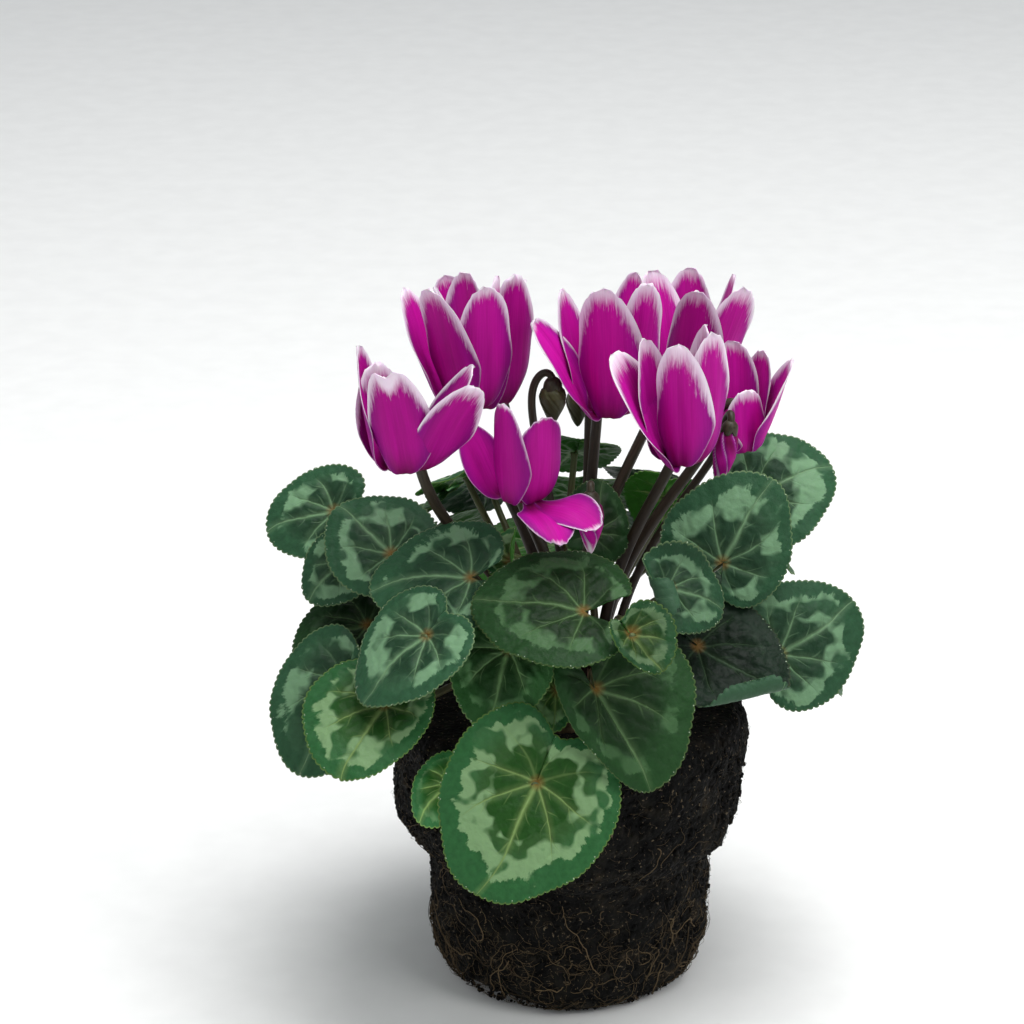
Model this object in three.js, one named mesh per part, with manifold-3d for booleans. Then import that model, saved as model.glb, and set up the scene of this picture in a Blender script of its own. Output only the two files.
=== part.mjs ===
// A florist's cyclamen lifted out of its nursery pot: a bare plug of peat and roots with a corm set in
// its top, a mound of marbled leaves, nodding blooms with swept-back petals, and a few buds.
// Millimetres, +Z up, the plant's front towards -Y, the middle of the plug's foot at the origin.

import * as THREE from "three";
import { mergeVertices } from "three/addons/utils/BufferGeometryUtils.js";
import Module from "manifold-3d";

const wasm = await Module();
wasm.setup();

// The plug: what a 12 cm nursery pot leaves behind, with a wide collar above a narrower body.
const BALL_HEIGHT = 94;
const FOOT_RADIUS = 36;
const BODY_RADIUS = 45;
const COLLAR_RADIUS = 56.5;
const COLLAR_FOOT = 47;
const BALL_SIDES = 24;
const ROOTS = 7;

// The corm, a flattened tuber with a flat crown, sits half sunk in a hollow of its own shape.
const CORM_RADIUS = 26;
const CORM_MIDDLE = 93;
const CORM_DEPTH = 10;
const CROWN_RADIUS = 22;
const CROWN_HEIGHT = 101.5;
const CORM_SIDES = 20;
const SEAT_GAP = 0.4;

// Leaf and flower stalks stand in pits on rings round the corm's crown.
const PIT_RING = 4.8;
const PIT_DEPTH = 3;
const PIT_GAP = 0.35;
const LEAF_STALK_RADIUS = 1.25;
const FLOWER_STALK_RADIUS = 1.8;
const STALK_SIDES = 5;
const STALK_STEPS = 5;

// A blade has a row of points this share of the way out, besides its toothed margin. Its stalk meets it
// a little way from the notch.
const BLADE_THICKNESS = 0.9;
const BLADE_RING = 0.55;
const TOOTH_DEPTH = 1.1;
const STALK_INSET = 1.2;

const PETAL_THICKNESS = 0.75;
const PETAL_HALF_WIDTH = 8.4;
const PETAL_SPIRAL = 0.28;

// The tube that a bloom's petals spring from, open below, and the calyx that sits on top of it.
const TUBE_RADIUS = 5.2;
const TUBE_HEIGHT = 7.5;
const TUBE_WALL = 1.6;
const TUBE_SIDES = 6;
const CALYX_HEIGHT = 3.3;
const CALYX_GAP = 0.3;

// How far a stalk stands off beside its flower or bud, and where it begins to hook over.
const HOOK_REACH = 8.5;
const HOOK_DROP = 5;
const BUD_REACH = 6.5;
const BUD_STALK_RADIUS = 1.3;
const BUD_SIDES = 7;

const UP = new THREE.Vector3(0, 0, 1);
const radians = THREE.MathUtils.degToRad;

// ---------------------------------------------------------------- colours and finishes

function finish(color, roughness) {
  return new THREE.MeshStandardMaterial({ color, roughness, metalness: 0 });
}

const finishes = {
  peat: finish("#2b211c", 0.95),
  corm: finish("#5a4534", 0.85),
  old: finish("#4f6b56", 0.55),
  mid: finish("#3f6b3c", 0.5),
  young: finish("#5f9a3a", 0.5),
  petal: finish("#b01d92", 0.6),
  stalk: finish("#5b3f38", 0.55),
  bud: finish("#7d6a45", 0.55),
};

// ---------------------------------------------------------------- solids

function solidOf(vertices, triangles) {
  return new wasm.Manifold(
    new wasm.Mesh({
      numProp: 3,
      vertProperties: Float32Array.from(vertices.flatMap((v) => v.toArray())),
      triVerts: Uint32Array.from(triangles),
    }),
  );
}

// A closed three.js geometry as a solid.
function closed(geometry) {
  geometry.deleteAttribute("normal");
  geometry.deleteAttribute("uv");
  const merged = mergeVertices(geometry, 1e-4);
  return new wasm.Manifold(
    new wasm.Mesh({
      numProp: 3,
      vertProperties: merged.attributes.position.array,
      triVerts: new Uint32Array(merged.index.array),
    }),
  );
}

// A profile of [radius, height] pairs, turned about +Z. It runs from the foot up the outside.
function turned(profile, sides) {
  const points = profile.map(([r, z]) => new THREE.Vector2(r, z));
  return new THREE.LatheGeometry(points, sides).rotateX(Math.PI / 2);
}

// A stalk, root or vein: a round section swept along a curve, with flat ends.
function rod(curve, radius, sides, steps) {
  const corners = [];
  for (let i = 0; i < sides; i++) {
    const turn = (i / sides) * 2 * Math.PI;
    corners.push(new THREE.Vector2(radius * Math.cos(turn), radius * Math.sin(turn)));
  }
  const section = new THREE.Shape(corners);
  return closed(new THREE.ExtrudeGeometry(section, { steps, extrudePath: curve }));
}

// A thin plate: the same triangles on both faces, and a wall round its edge.
function plate(front, back, triangles, edge) {
  const behind = front.length;
  const faces = [];
  for (const [a, b, c] of triangles) {
    faces.push(a, b, c, behind + a, behind + c, behind + b);
  }
  edge.forEach((a, i) => {
    const b = edge[(i + 1) % edge.length];
    faces.push(a, behind + a, behind + b, a, behind + b, b);
  });
  return solidOf([...front, ...back], faces);
}

const plant = new THREE.Group();

function addNode(name, solid, material) {
  const { vertProperties, triVerts } = solid.getMesh();
  const geometry = new THREE.BufferGeometry();
  geometry.setAttribute("position", new THREE.BufferAttribute(vertProperties, 3));
  geometry.setIndex(new THREE.BufferAttribute(triVerts, 1));
  const mesh = new THREE.Mesh(geometry, material.clone());
  mesh.name = name;
  plant.add(mesh);
}

// The same draws every time the plant is built.
function seededDraw(seed) {
  let state = seed;
  return () => {
    state = (state * 16807) % 2147483647;
    return state / 2147483647;
  };
}

// ---------------------------------------------------------------- the crown of the corm

const pits = [];

// Where a stalk stands: on one of the crown's rings, at an azimuth in degrees.
function footOf([ring, azimuth]) {
  const radius = ring * PIT_RING;
  const turn = radians(azimuth);
  const height = CROWN_HEIGHT - PIT_DEPTH;
  return new THREE.Vector3(radius * Math.cos(turn), radius * Math.sin(turn), height);
}

// The pit that a stalk stands in, cut along the stalk's own first stretch.
function addPit(stalk, stalkRadius, sides) {
  const length = 2.5 * PIT_DEPTH;
  const radius = (stalkRadius + PIT_GAP) / Math.cos(Math.PI / sides);
  const cutter = new THREE.CylinderGeometry(radius, radius, length, sides);
  const foot = stalk.getPointAt(0);
  const direction = stalk.getPointAt(1 / STALK_STEPS).sub(foot).normalize();
  cutter.translate(0, length / 2 - PIT_GAP, 0);
  cutter.applyQuaternion(
    new THREE.Quaternion().setFromUnitVectors(new THREE.Vector3(0, 1, 0), direction),
  );
  cutter.translate(foot.x, foot.y, foot.z);
  pits.push(closed(cutter));
}

// ---------------------------------------------------------------- leaves

// Each leaf: the pit it stands in [ring, azimuth], the point where its stalk meets the blade, which way
// the blade faces [azimuth, elevation, turn of the tip from straight down], and its length from that
// point to the tip. The rest is optional:
// gap: half the opening of the notch in degrees. lop: how much one lobe outgrows the other.
// lobes: size of the back lobes. wide: width for its length. cup: how far the margin falls away.
// droop: how far the tip bends down. fold: how far both halves rise from the midrib. roll: how far the
// left edge curls over. wave: margin waves. rise, lean: how the stalk leaves the crown. back, lift:
// how it comes to the blade, from behind it and from uphill.
const LEAF_DEFAULTS = {
  gap: 12, lop: 0, lobes: 1, wide: 1,
  cup: 0.1, droop: 0.1, fold: 0, roll: 0, wave: 0.035, phase: 0,
  rise: 30, lean: 8, back: 16, lift: 0, tone: "mid", teeth: 10,
};

const LEAVES = [
  // The front, from the plug's rim upwards.
  { name: "front_low", foot: [4, -104], at: [-11, -84, 103.5], face: [-88, 28, -28], length: 39,
    gap: 4, cup: 0.06, tone: "young", teeth: 15, rise: 22, lean: 30, lift: 8, phase: 40 },
  { name: "bud_left_low", foot: [4, -120], at: [-37.5, -71, 97], face: [-120, 35, -30], length: 16,
    tone: "young", teeth: 8, rise: 16, lean: 26, back: 10, lift: 6 },
  { name: "left_low", foot: [4, -136], at: [-57, -70, 122.5], face: [-97, 62, -20], length: 29,
    lop: 0.2, lobes: 0.9, tone: "young", phase: 100 },
  { name: "left_back_low", foot: [4, -152], at: [-70.5, -50, 121], face: [-115, 40, -15], length: 31,
    tone: "old", phase: 200 },
  { name: "left_mid", foot: [3, -128], at: [-44, -71, 146], face: [-128, 50, -25], length: 28,
    lobes: 0.85, tone: "old", phase: 10, back: 12, rise: 50, lift: 10 },
  { name: "left_upper", foot: [2, -105], at: [-31, -53, 157.5], face: [-105, 56, -80], length: 32,
    lobes: 0.5, wide: 0.95, tone: "old", phase: 60, gap: 30 },
  { name: "centre", foot: [3, -86], at: [3, -70, 153.5], face: [-78, 62, -108], length: 34,
    gap: 34, lobes: 0.7, tone: "old", cup: 0.14, phase: 150 },
  { name: "small_right", foot: [4, -56], at: [16.5, -83, 151.5], face: [-70, 40, 25], length: 15,
    lop: -0.35, lobes: 0.9, cup: -0.1, tone: "young", teeth: 8, back: 10, phase: 20, lift: 12, rise: 40 },
  { name: "right_rolled", foot: [3, -65], at: [29, -58, 156], face: [-60, 38, 60], length: 20,
    tone: "old", teeth: 10, roll: 0.5, phase: 80 },
  { name: "dark_left", foot: [3, -107], at: [-19.5, -62, 137.5], face: [-108, 35, -4], length: 26,
    lop: 0.05, wide: 0.95, phase: 120, lobes: 0.65 },
  { name: "small_low", foot: [4, -88], at: [-5, -64, 125], face: [-100, 25, 0], length: 13,
    wide: 0.8, tone: "young", teeth: 8, fold: 0.3 },
  { name: "dark_right", foot: [4, -72], at: [6.5, -76, 130.5], face: [-82, 32, 26], length: 35,
    gap: 18, lop: -0.15, lobes: 0.7, wide: 0.95, phase: 70 },
  { name: "curled_right", foot: [4, -40], at: [38.5, -50, 133.5], face: [-72, 48, 38], length: 30,
    cup: -0.12, droop: -0.15, tone: "old", phase: 30 },
  { name: "upright_right", foot: [3, -44], at: [46.5, -38, 156.5], face: [-88, 12, 150], length: 30,
    gap: 30, lop: -0.1, lobes: 0.55, tone: "old", lift: -6, phase: 90 },
  { name: "far_right", foot: [4, -24], at: [64.5, -42, 127.5], face: [-78, 22, 116], length: 30,
    gap: 42, lobes: 0.5, tone: "old", phase: 50 },
  { name: "marbled_left", foot: [3, -149], at: [-56, -32, 157], face: [-95, 48, -132], length: 25,
    lobes: 0.8, wide: 1.05, tone: "old", phase: 15 },
  { name: "under_marbled", foot: [3, -170], at: [-71, -24, 151], face: [-110, 30, -40], length: 17,
    tone: "old", teeth: 9 },
  { name: "grey_left", foot: [2, 165], at: [-74.5, -11, 163], face: [-105, 40, -70], length: 23,
    tone: "old", teeth: 11, phase: 110 },
  { name: "shade_left", foot: [4, -168], at: [-64, -25, 130], face: [-100, 60, -60], length: 25,
    phase: 35 },
  { name: "tucked_right", foot: [3, -2], at: [58, -2, 165], face: [-80, 40, 110], length: 29,
    tone: "old", phase: 140, lobes: 0.5, gap: 40 },
  { name: "young_curl", foot: [2, -135], at: [-18.5, -35, 156], face: [-150, 20, -150], length: 11,
    tone: "young", teeth: 7, fold: 0.8 },
  { name: "dark_centre", foot: [2, -45], at: [7, -15, 157.5], face: [-60, 30, 150], length: 18,
    teeth: 11, phase: 5 },
  // The right side, the back and the left side, low tier.
  { name: "low_east", foot: [4, -8], at: [68, -6, 124], face: [2, 45, -8], length: 31,
    tone: "old", phase: 20, teeth: 8 },
  { name: "low_north_east", foot: [4, 30], at: [60, 34, 121], face: [32, 42, 14], length: 33,
    phase: 75, teeth: 8 },
  { name: "low_north", foot: [4, 62], at: [32, 60, 125], face: [64, 40, -14], length: 34,
    tone: "old", phase: 130, teeth: 8 },
  { name: "low_behind", foot: [4, 96], at: [-8, 68, 121], face: [97, 42, 18], length: 33,
    tone: "young", phase: 190, teeth: 8 },
  { name: "low_north_west", foot: [4, 130], at: [-46, 55, 125], face: [130, 42, -14], length: 33,
    phase: 245, teeth: 8 },
  { name: "low_west", foot: [4, 163], at: [-68, 20, 122], face: [164, 44, 12], length: 31,
    tone: "old", phase: 300, teeth: 8 },
  // The middle tier behind.
  { name: "mid_east", foot: [3, 18], at: [54, 21, 144], face: [16, 56, 10],
    length: 28, phase: 45, teeth: 8 },
  { name: "mid_north_east", foot: [3, 50], at: [30, 44, 150], face: [58, 55, -20], length: 31,
    tone: "old", phase: 100, teeth: 8 },
  { name: "mid_behind", foot: [3, 85], at: [4, 52, 145], face: [86, 55, 12],
    length: 32, phase: 155, teeth: 8 },
  { name: "mid_north_west", foot: [3, 118], at: [-26, 45, 152], face: [118, 56, -18], length: 31,
    tone: "old", phase: 210, teeth: 8 },
  { name: "mid_west", foot: [3, 150], at: [-48, 26, 148], face: [152, 55, 15],
    length: 30, phase: 265, teeth: 8 },
  // The top of the mound, among the flower stalks.
  { name: "top_behind", foot: [2, 105], at: [2, 22, 171], face: [85, 55, 20], length: 22,
    teeth: 11, phase: 60 },
  { name: "top_west", foot: [2, 135], at: [-33, 8, 168], face: [140, 62, -30], length: 24,
    tone: "young", teeth: 11, phase: 120 },
  { name: "top_east", foot: [2, 45], at: [31, 13, 159], face: [75, 30, 10], length: 20,
    tone: "young", teeth: 11, phase: 180 },
];

// How far the outline stands from the stalk, for an angle in degrees from the tip: a heart with a
// pointed tip, full lobes and a notch.
function outlineShare(angle, lobes) {
  const away = Math.abs(angle);
  const tip = 0.34 * Math.exp(-((away / 38) ** 1.5));
  const notch = 0.27 * Math.exp(-(((180 - away) / 26) ** 2));
  return (0.66 + tip - notch) * (1 - (1 - lobes) / (1 + Math.exp((125 - away) / 14)));
}

// The directions of a blade: its normal, the way to its tip, and the way to its side.
function bladeFrame([azimuth, elevation, turn]) {
  const a = radians(azimuth);
  const e = radians(elevation);
  const away = new THREE.Vector3(Math.cos(a), Math.sin(a), 0);
  const normal = away.clone().multiplyScalar(Math.cos(e)).setZ(Math.sin(e));
  const downhill = away.clone().multiplyScalar(Math.sin(e)).setZ(-Math.cos(e));
  const tip = downhill.clone().applyAxisAngle(normal, radians(turn));
  return { normal, downhill, tip, side: normal.clone().cross(tip) };
}

// The blade's height over its flat outline, both as shares of its length.
function bladeHeight(leaf, along, across, angle) {
  const out = Math.hypot(along, across);
  const funnel = 0.08 * (1 - Math.exp(-((out / 0.22) ** 2)));
  const folded = leaf.fold * (Math.sqrt(across ** 2 + 0.01) - 0.1);
  const rolled = leaf.roll * 4 * Math.max(across - 0.3, 0) ** 2;
  const bent = leaf.droop * Math.max(along, 0) ** 2;
  const waved = leaf.wave * out ** 2 * Math.sin(radians(3 * angle + leaf.phase));
  return funnel + folded + rolled - leaf.cup * out ** 2 - bent + waved;
}

// A point of the blade: angle in degrees from the tip, share of the way out, and height over its face.
function bladePoint(leaf, axes, angle, share, lift) {
  const reach = outlineShare(angle, leaf.lobes) * share;
  const along = reach * Math.cos(radians(angle));
  const left = Math.sin(radians(angle)) > 0 ? 1 : -1;
  const across = reach * Math.sin(radians(angle)) * leaf.wide * (1 - left * leaf.lop);
  const height = bladeHeight(leaf, along, across, angle) * leaf.length + lift;
  return new THREE.Vector3(...leaf.at)
    .addScaledVector(axes.tip, along * leaf.length)
    .addScaledVector(axes.side, across * leaf.length)
    .addScaledVector(axes.normal, height);
}

function bladeSolid(leaf, axes) {
  const { teeth, length, gap } = leaf;
  const first = -(180 - gap);
  const step = (360 - 2 * gap) / (2 * teeth);
  const spots = [[0, 0]];
  for (let k = 0; k <= teeth; k++) {
    spots.push([first + 2 * k * step, BLADE_RING]);
  }
  for (let i = 0; i <= 2 * teeth; i++) {
    spots.push([first + i * step, i % 2 ? 1 : 1 - TOOTH_DEPTH / length]);
  }
  const inner = (k) => 1 + k;
  const outer = (i) => 2 + teeth + i;
  const triangles = [];
  const edge = [0, inner(0)];
  for (let k = 0; k < teeth; k++) {
    triangles.push([0, inner(k), inner(k + 1)]);
    triangles.push([inner(k), outer(2 * k), outer(2 * k + 1)]);
    triangles.push([inner(k), outer(2 * k + 1), inner(k + 1)]);
    triangles.push([inner(k + 1), outer(2 * k + 1), outer(2 * k + 2)]);
    edge.push(outer(2 * k), outer(2 * k + 1));
  }
  edge.push(outer(2 * teeth), inner(teeth));
  const half = BLADE_THICKNESS / 2;
  const front = spots.map(([angle, share]) => bladePoint(leaf, axes, angle, share, half));
  const back = spots.map(([angle, share]) => bladePoint(leaf, axes, angle, share, -half));
  return plate(front, back, triangles, edge);
}

// The leaf's stalk, from its pit up and over to the back of the blade.
function leafStalk(leaf, axes) {
  const foot = footOf(leaf.foot);
  const outwards = radians(leaf.foot[1]);
  const start = foot.clone().addScaledVector(UP, leaf.rise);
  start.x += leaf.lean * Math.cos(outwards);
  start.y += leaf.lean * Math.sin(outwards);
  const end = new THREE.Vector3(...leaf.at).addScaledVector(axes.tip, STALK_INSET);
  const behind = end.clone()
    .addScaledVector(axes.normal, -leaf.back)
    .addScaledVector(axes.downhill, -leaf.lift);
  return new THREE.CubicBezierCurve3(foot, start, behind, end);
}

for (const row of LEAVES) {
  const leaf = { ...LEAF_DEFAULTS, ...row };
  const axes = bladeFrame(leaf.face);
  const route = leafStalk(leaf, axes);
  const stalk = rod(route, LEAF_STALK_RADIUS, STALK_SIDES, STALK_STEPS);
  addPit(route, LEAF_STALK_RADIUS, 4);
  addNode("leaf_" + leaf.name, bladeSolid(leaf, axes).add(stalk), finishes[leaf.tone]);
}

// ---------------------------------------------------------------- blooms

// Each bloom: its pit, the middle of its mouth, the azimuth its stalk comes from, the way it tips
// [azimuth, degrees], its petals' length, and its petals. A petal has its azimuth from the stalk's far
// side, how far it leans out from the bloom's axis, its share of the length, its sideways sweep, its
// share of the usual width, and how far it twists about its own length.
// climb, optional: the shares of the stalk's length that run straight up from the pit and to the hook.
const BLOOMS = [
  { name: "left", foot: [2, -165], mouth: [-51, -50, 191.5], from: 62, tip: [180, 4], length: 40,
    climb: [0.35, 0.3],
    petals: [[33, 6, 0.92, -0.09, 1.02, 0], [86, 34, 0.88, 0.03, 0.92, -28],
      [130, 28, 0.86, -0.25, 1.05, 15], [-63, 6, 0.93, -0.22, 0.88, 0], [-110, 4, 0.8, 0, 0.9, 0]] },
  { name: "low", foot: [1, -95], mouth: [-16, -46, 180.5], from: 100, tip: [-90, 3], length: 34,
    petals: [[-58, 2, 0.98, -0.02, 1, -22], [34, 5, 0.87, -0.15, 1.08, 0], [54, 86, 0.6, -0.12, 1, -60],
      [42, 78, 0.62, -0.55, 0.88, 60], [-122, 14, 0.76, 0.12, 0.98, 0]] },
  { name: "rear_left", foot: [1, -155], mouth: [-31.5, -20, 201], from: 120, tip: [190, 6], length: 43,
    petals: [[-112, 12, 0.95, -0.06, 0.95, -18], [-54, 9, 1.02, -0.04, 0.95, 0], [8, 6, 0.95, 0.05, 1, 0],
      [65, 8, 0.92, 0.1, 1, 0], [122, 8, 0.92, 0.1, 1, 0]] },
  { name: "rear_middle", foot: [1, 145], mouth: [-26, 10, 191], from: 62, tip: [180, 3], length: 44,
    petals: [[20, 9, 1.07, -0.07, 0.95, 0], [88, 6, 1.02, 0, 0.92, -15], [124, 10, 1, 0.1, 1, 0],
      [-44, 10, 0.95, 0, 1, 0], [-112, 8, 0.95, 0.1, 1, 0]] },
  { name: "middle", foot: [1, -35], mouth: [11.5, -6, 193.5], from: 110, tip: [0, 2], length: 46,
    petals: [[-19, 9, 1, -0.09, 1.12, 0], [46, 7, 1.02, -0.12, 0.9, -22], [120, 12, 0.93, 0.1, 0.95, 0],
      [-72, 36, 0.95, 0.02, 1.12, -35], [-122, 12, 0.9, 0.1, 1, 0]] },
  { name: "right", foot: [2, -15], mouth: [33.5, -32, 187.5], from: 95, tip: [-90, 3], length: 44,
    petals: [[-10, 3, 0.95, -0.04, 0.95, 0], [55, 3, 1, -0.02, 0.88, -12], [120, 6, 0.93, 0.1, 0.95, 0],
      [-45, 16, 0.88, -0.35, 1.18, -55], [-115, 5, 0.93, 0.15, 0.97, 0]] },
  { name: "far_right", foot: [2, 15], mouth: [52.5, -2, 181.5], from: 160, tip: [0, 4], length: 36,
    petals: [[-42, 0, 0.6, -0.16, 0.9, 26], [3, 14, 0.89, -0.02, 1.15, 34], [56, 14, 0.8, 0.1, 0.9, 0],
      [-118, 33, 0.42, 0.15, 0.88, 10], [110, 10, 0.86, 0.1, 0.95, 0]] },
  { name: "rear_right", foot: [1, 85], mouth: [38, 30, 189], from: 200, tip: [60, 5], length: 38,
    petals: [[-4, 12, 1, 0.1, 1, 0], [56, 14, 1, 0.1, 1, 0], [115, 16, 1, 0, 1, 0],
      [-64, 16, 1, 0.1, 1, 0], [-122, 14, 1, 0.1, 1, 0]] },
];

// Half a petal's width at a share of its length: narrow at the throat, widest past the middle, blunt.
function petalHalfWidth(share) {
  return 2 * (1 - share) + PETAL_HALF_WIDTH * Math.sin(Math.PI * share ** 1.8) + 1.6 * share;
}

// The petal leaves the mouth downwards, turns back and climbs. It wraps round the bloom's axis, one edge
// further out than the other, so that each petal lies over the next.
function petalSolid(bloom, [azimuth, leaning, size, sweep, breadth, twist]) {
  const length = bloom.length * size;
  const lean = radians(leaning);
  const line = new THREE.CubicBezierCurve(
    new THREE.Vector2(4.2, 1.6),
    new THREE.Vector2(8.4, -4.5),
    new THREE.Vector2(8.5 + 0.5 * length * Math.sin(lean * 0.6), 0.45 * length * Math.cos(lean * 0.6)),
    new THREE.Vector2(7.5 + length * Math.sin(lean), length * Math.cos(lean)),
  );
  const outwards = new THREE.Vector3(1, 0, 0).applyAxisAngle(UP, radians(azimuth));
  const sideways = UP.clone().cross(outwards);
  const rows = [0, 0.24, 0.5, 0.8, 1];
  const columns = [-1, 0, 1];
  const front = [];
  const back = [];
  for (const share of rows) {
    const middle = line.getPoint(share);
    const heading = line.getTangent(share);
    const bend = middle.x + 0.8 + 6 * share;
    const spiral = PETAL_SPIRAL * Math.min(1, 3 * share);
    const rising = outwards.clone().multiplyScalar(heading.x).addScaledVector(UP, heading.y).normalize();
    const turned = radians(twist) * (1 - (1 - share) ** 2);
    for (const column of columns) {
      const across = petalHalfWidth(share) * column * breadth;
      const out = outwards.clone().applyAxisAngle(UP, across / bend);
      const along = out.clone().multiplyScalar(heading.x).addScaledVector(UP, heading.y);
      const face = UP.clone().cross(out).addScaledVector(out, spiral).cross(along).normalize()
        .applyAxisAngle(rising, turned);
      const point = out.clone().multiplyScalar(bend + spiral * across).addScaledVector(outwards, -bend)
        .applyAxisAngle(rising, turned)
        .addScaledVector(outwards, middle.x)
        .addScaledVector(UP, middle.y)
        .addScaledVector(sideways, sweep * length * share ** 2);
      front.push(point.clone().addScaledVector(face, PETAL_THICKNESS / 2));
      back.push(point.clone().addScaledVector(face, -PETAL_THICKNESS / 2));
    }
  }
  const wide = columns.length;
  const last = rows.length - 1;
  const triangles = [];
  const edge = [];
  for (let j = 0; j < last; j++) {
    for (let i = 0; i < wide - 1; i++) {
      const a = j * wide + i;
      triangles.push([a, a + 1, a + wide + 1], [a, a + wide + 1, a + wide]);
    }
  }
  for (let i = 0; i < wide - 1; i++) {
    edge.push(i);
  }
  for (let j = 0; j < last; j++) {
    edge.push(j * wide + wide - 1);
  }
  for (let i = wide - 1; i > 0; i--) {
    edge.push(last * wide + i);
  }
  for (let j = last; j > 0; j--) {
    edge.push(j * wide);
  }
  return plate(front, back, triangles, edge);
}

// A bloom's or bud's own frame: its origin at the mouth, its axis tipped a little from upright.
function hangingFrame({ mouth, tip: [towards, degrees] }) {
  const hinge = new THREE.Vector3(-Math.sin(radians(towards)), Math.cos(radians(towards)), 0);
  const turn = new THREE.Matrix4().makeRotationAxis(hinge, radians(degrees));
  return new THREE.Matrix4().makeTranslation(...mouth).multiply(turn);
}

// The stalk rises from its pit beside the flower, then hooks over and comes down into its top.
function hookedStalk(flower, reach, height, radius) {
  const frame = hangingFrame(flower);
  const aside = new THREE.Vector3(1, 0, 0).applyAxisAngle(UP, radians(flower.from));
  const place = (out, up) => aside.clone().multiplyScalar(out).setZ(up).applyMatrix4(frame);
  const foot = footOf(flower.foot);
  const hookStart = place(reach, height - HOOK_DROP);
  const climb = foot.distanceTo(hookStart);
  const [fromFoot, fromHook] = flower.climb ?? [0.5, 0.15];
  const start = foot.clone().addScaledVector(UP, fromFoot * climb);
  const below = place(reach, height - HOOK_DROP - fromHook * climb);
  const end = place(reach, height - HOOK_DROP + 0.5);
  const stem = new THREE.CubicBezierCurve3(foot, start, below, end);
  const hook = new THREE.CubicBezierCurve3(
    hookStart,
    place(reach, height + HOOK_DROP),
    place(0, height + HOOK_DROP + 2),
    place(0, height + 0.8),
  );
  addPit(stem, radius, 5);
  return rod(stem, radius, STALK_SIDES, STALK_STEPS).add(rod(hook, radius, STALK_SIDES, STALK_STEPS));
}

const tubeProfile = [
  [TUBE_RADIUS - TUBE_WALL, 1],
  [TUBE_RADIUS, 1],
  [TUBE_RADIUS - 0.4, TUBE_HEIGHT],
  [TUBE_RADIUS - 0.4 - TUBE_WALL, TUBE_HEIGHT],
  [TUBE_RADIUS - TUBE_WALL, 1],
];

// A calyx sits just above its flower or bud, wide below and narrow where the stalk comes in.
function calyxSolid(bottom, radius, sides) {
  const top = bottom + CALYX_HEIGHT;
  const profile = [[0, bottom], [radius, bottom], [0.75 * radius, top - 1], [0, top]];
  return closed(turned(profile, sides));
}

for (const bloom of BLOOMS) {
  const frame = hangingFrame(bloom);
  let petals = closed(turned(tubeProfile, TUBE_SIDES));
  for (const petal of bloom.petals) {
    const [azimuth, ...shape] = petal;
    petals = petals.add(petalSolid(bloom, [bloom.from + 180 + azimuth, ...shape]));
  }
  addNode(`bloom_${bloom.name}_petals`, petals.transform(frame.elements), finishes.petal);
  const calyx = calyxSolid(TUBE_HEIGHT + CALYX_GAP, TUBE_RADIUS, TUBE_SIDES);
  const stalk = hookedStalk(bloom, HOOK_REACH, TUBE_HEIGHT + 2, FLOWER_STALK_RADIUS);
  addNode(`bloom_${bloom.name}_stalk`, stalk.add(calyx.transform(frame.elements)), finishes.stalk);
}

// ---------------------------------------------------------------- buds

// Each bud hangs point down from a hooked stalk; its length and radius are of the bud itself. A green
// bud is one with its calyx, and a pink one is a body of its own under it.
const BUDS = [
  { name: "hooked", foot: [0, 0], mouth: [-6, -26, 197.5], from: 175, tip: [0, 0],
    length: 12, radius: 4.2, pink: false },
  { name: "beside", foot: [1, 20], mouth: [2.5, 15, 182], from: -60, tip: [0, 0],
    length: 12, radius: 3.8, pink: false },
  { name: "pink_tipped", foot: [2, -75], mouth: [5.5, -40, 160], from: 90, tip: [0, 0],
    length: 17, radius: 4.2, pink: true },
  { name: "striped", foot: [3, -23], mouth: [45, -24, 175.5], from: 100, tip: [0, 10],
    length: 19, radius: 3.8, pink: true },
];

for (const bud of BUDS) {
  const { name, length, radius, pink } = bud;
  const frame = hangingFrame(bud).elements;
  const profile = [
    [0, 0], [0.75 * radius, 0.4 * length], [radius, 0.75 * length], [0.6 * radius, length], [0, length],
  ];
  const drop = closed(turned(profile, BUD_SIDES)).transform(frame);
  const seat = pink ? length + CALYX_GAP : length - CALYX_GAP;
  const calyx = calyxSolid(seat, 0.7 * radius, BUD_SIDES).transform(frame);
  const stalk = hookedStalk(bud, BUD_REACH, seat + 0.4, BUD_STALK_RADIUS).add(calyx);
  if (pink) {
    addNode(`bud_${name}_petals`, drop, finishes.petal);
    addNode(`bud_${name}_stalk`, stalk, finishes.stalk);
  } else {
    addNode("bud_" + name, stalk.add(drop), finishes.bud);
  }
}

// ---------------------------------------------------------------- the corm

// The corm's rounded underside, from its lowest point out to its widest, with `gap` round it.
function underside(gap) {
  const points = [];
  const steps = 3;
  for (let i = 0; i <= steps; i++) {
    const turn = (i / steps) * (Math.PI / 2);
    const radius = (CORM_RADIUS + gap) * Math.sin(turn);
    points.push([radius, CORM_MIDDLE - (CORM_DEPTH + gap) * Math.cos(turn)]);
  }
  return points;
}

const shoulder = [
  [CORM_RADIUS - 0.6, CORM_MIDDLE + 4], [(CORM_RADIUS + CROWN_RADIUS) / 2, CROWN_HEIGHT - 1.5],
  [CROWN_RADIUS, CROWN_HEIGHT], [0, CROWN_HEIGHT],
];
let corm = closed(turned([...underside(0), ...shoulder], CORM_SIDES));
for (const pit of pits) {
  corm = corm.subtract(pit);
}
addNode("corm", corm, finishes.corm);

// ---------------------------------------------------------------- the root ball

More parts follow.
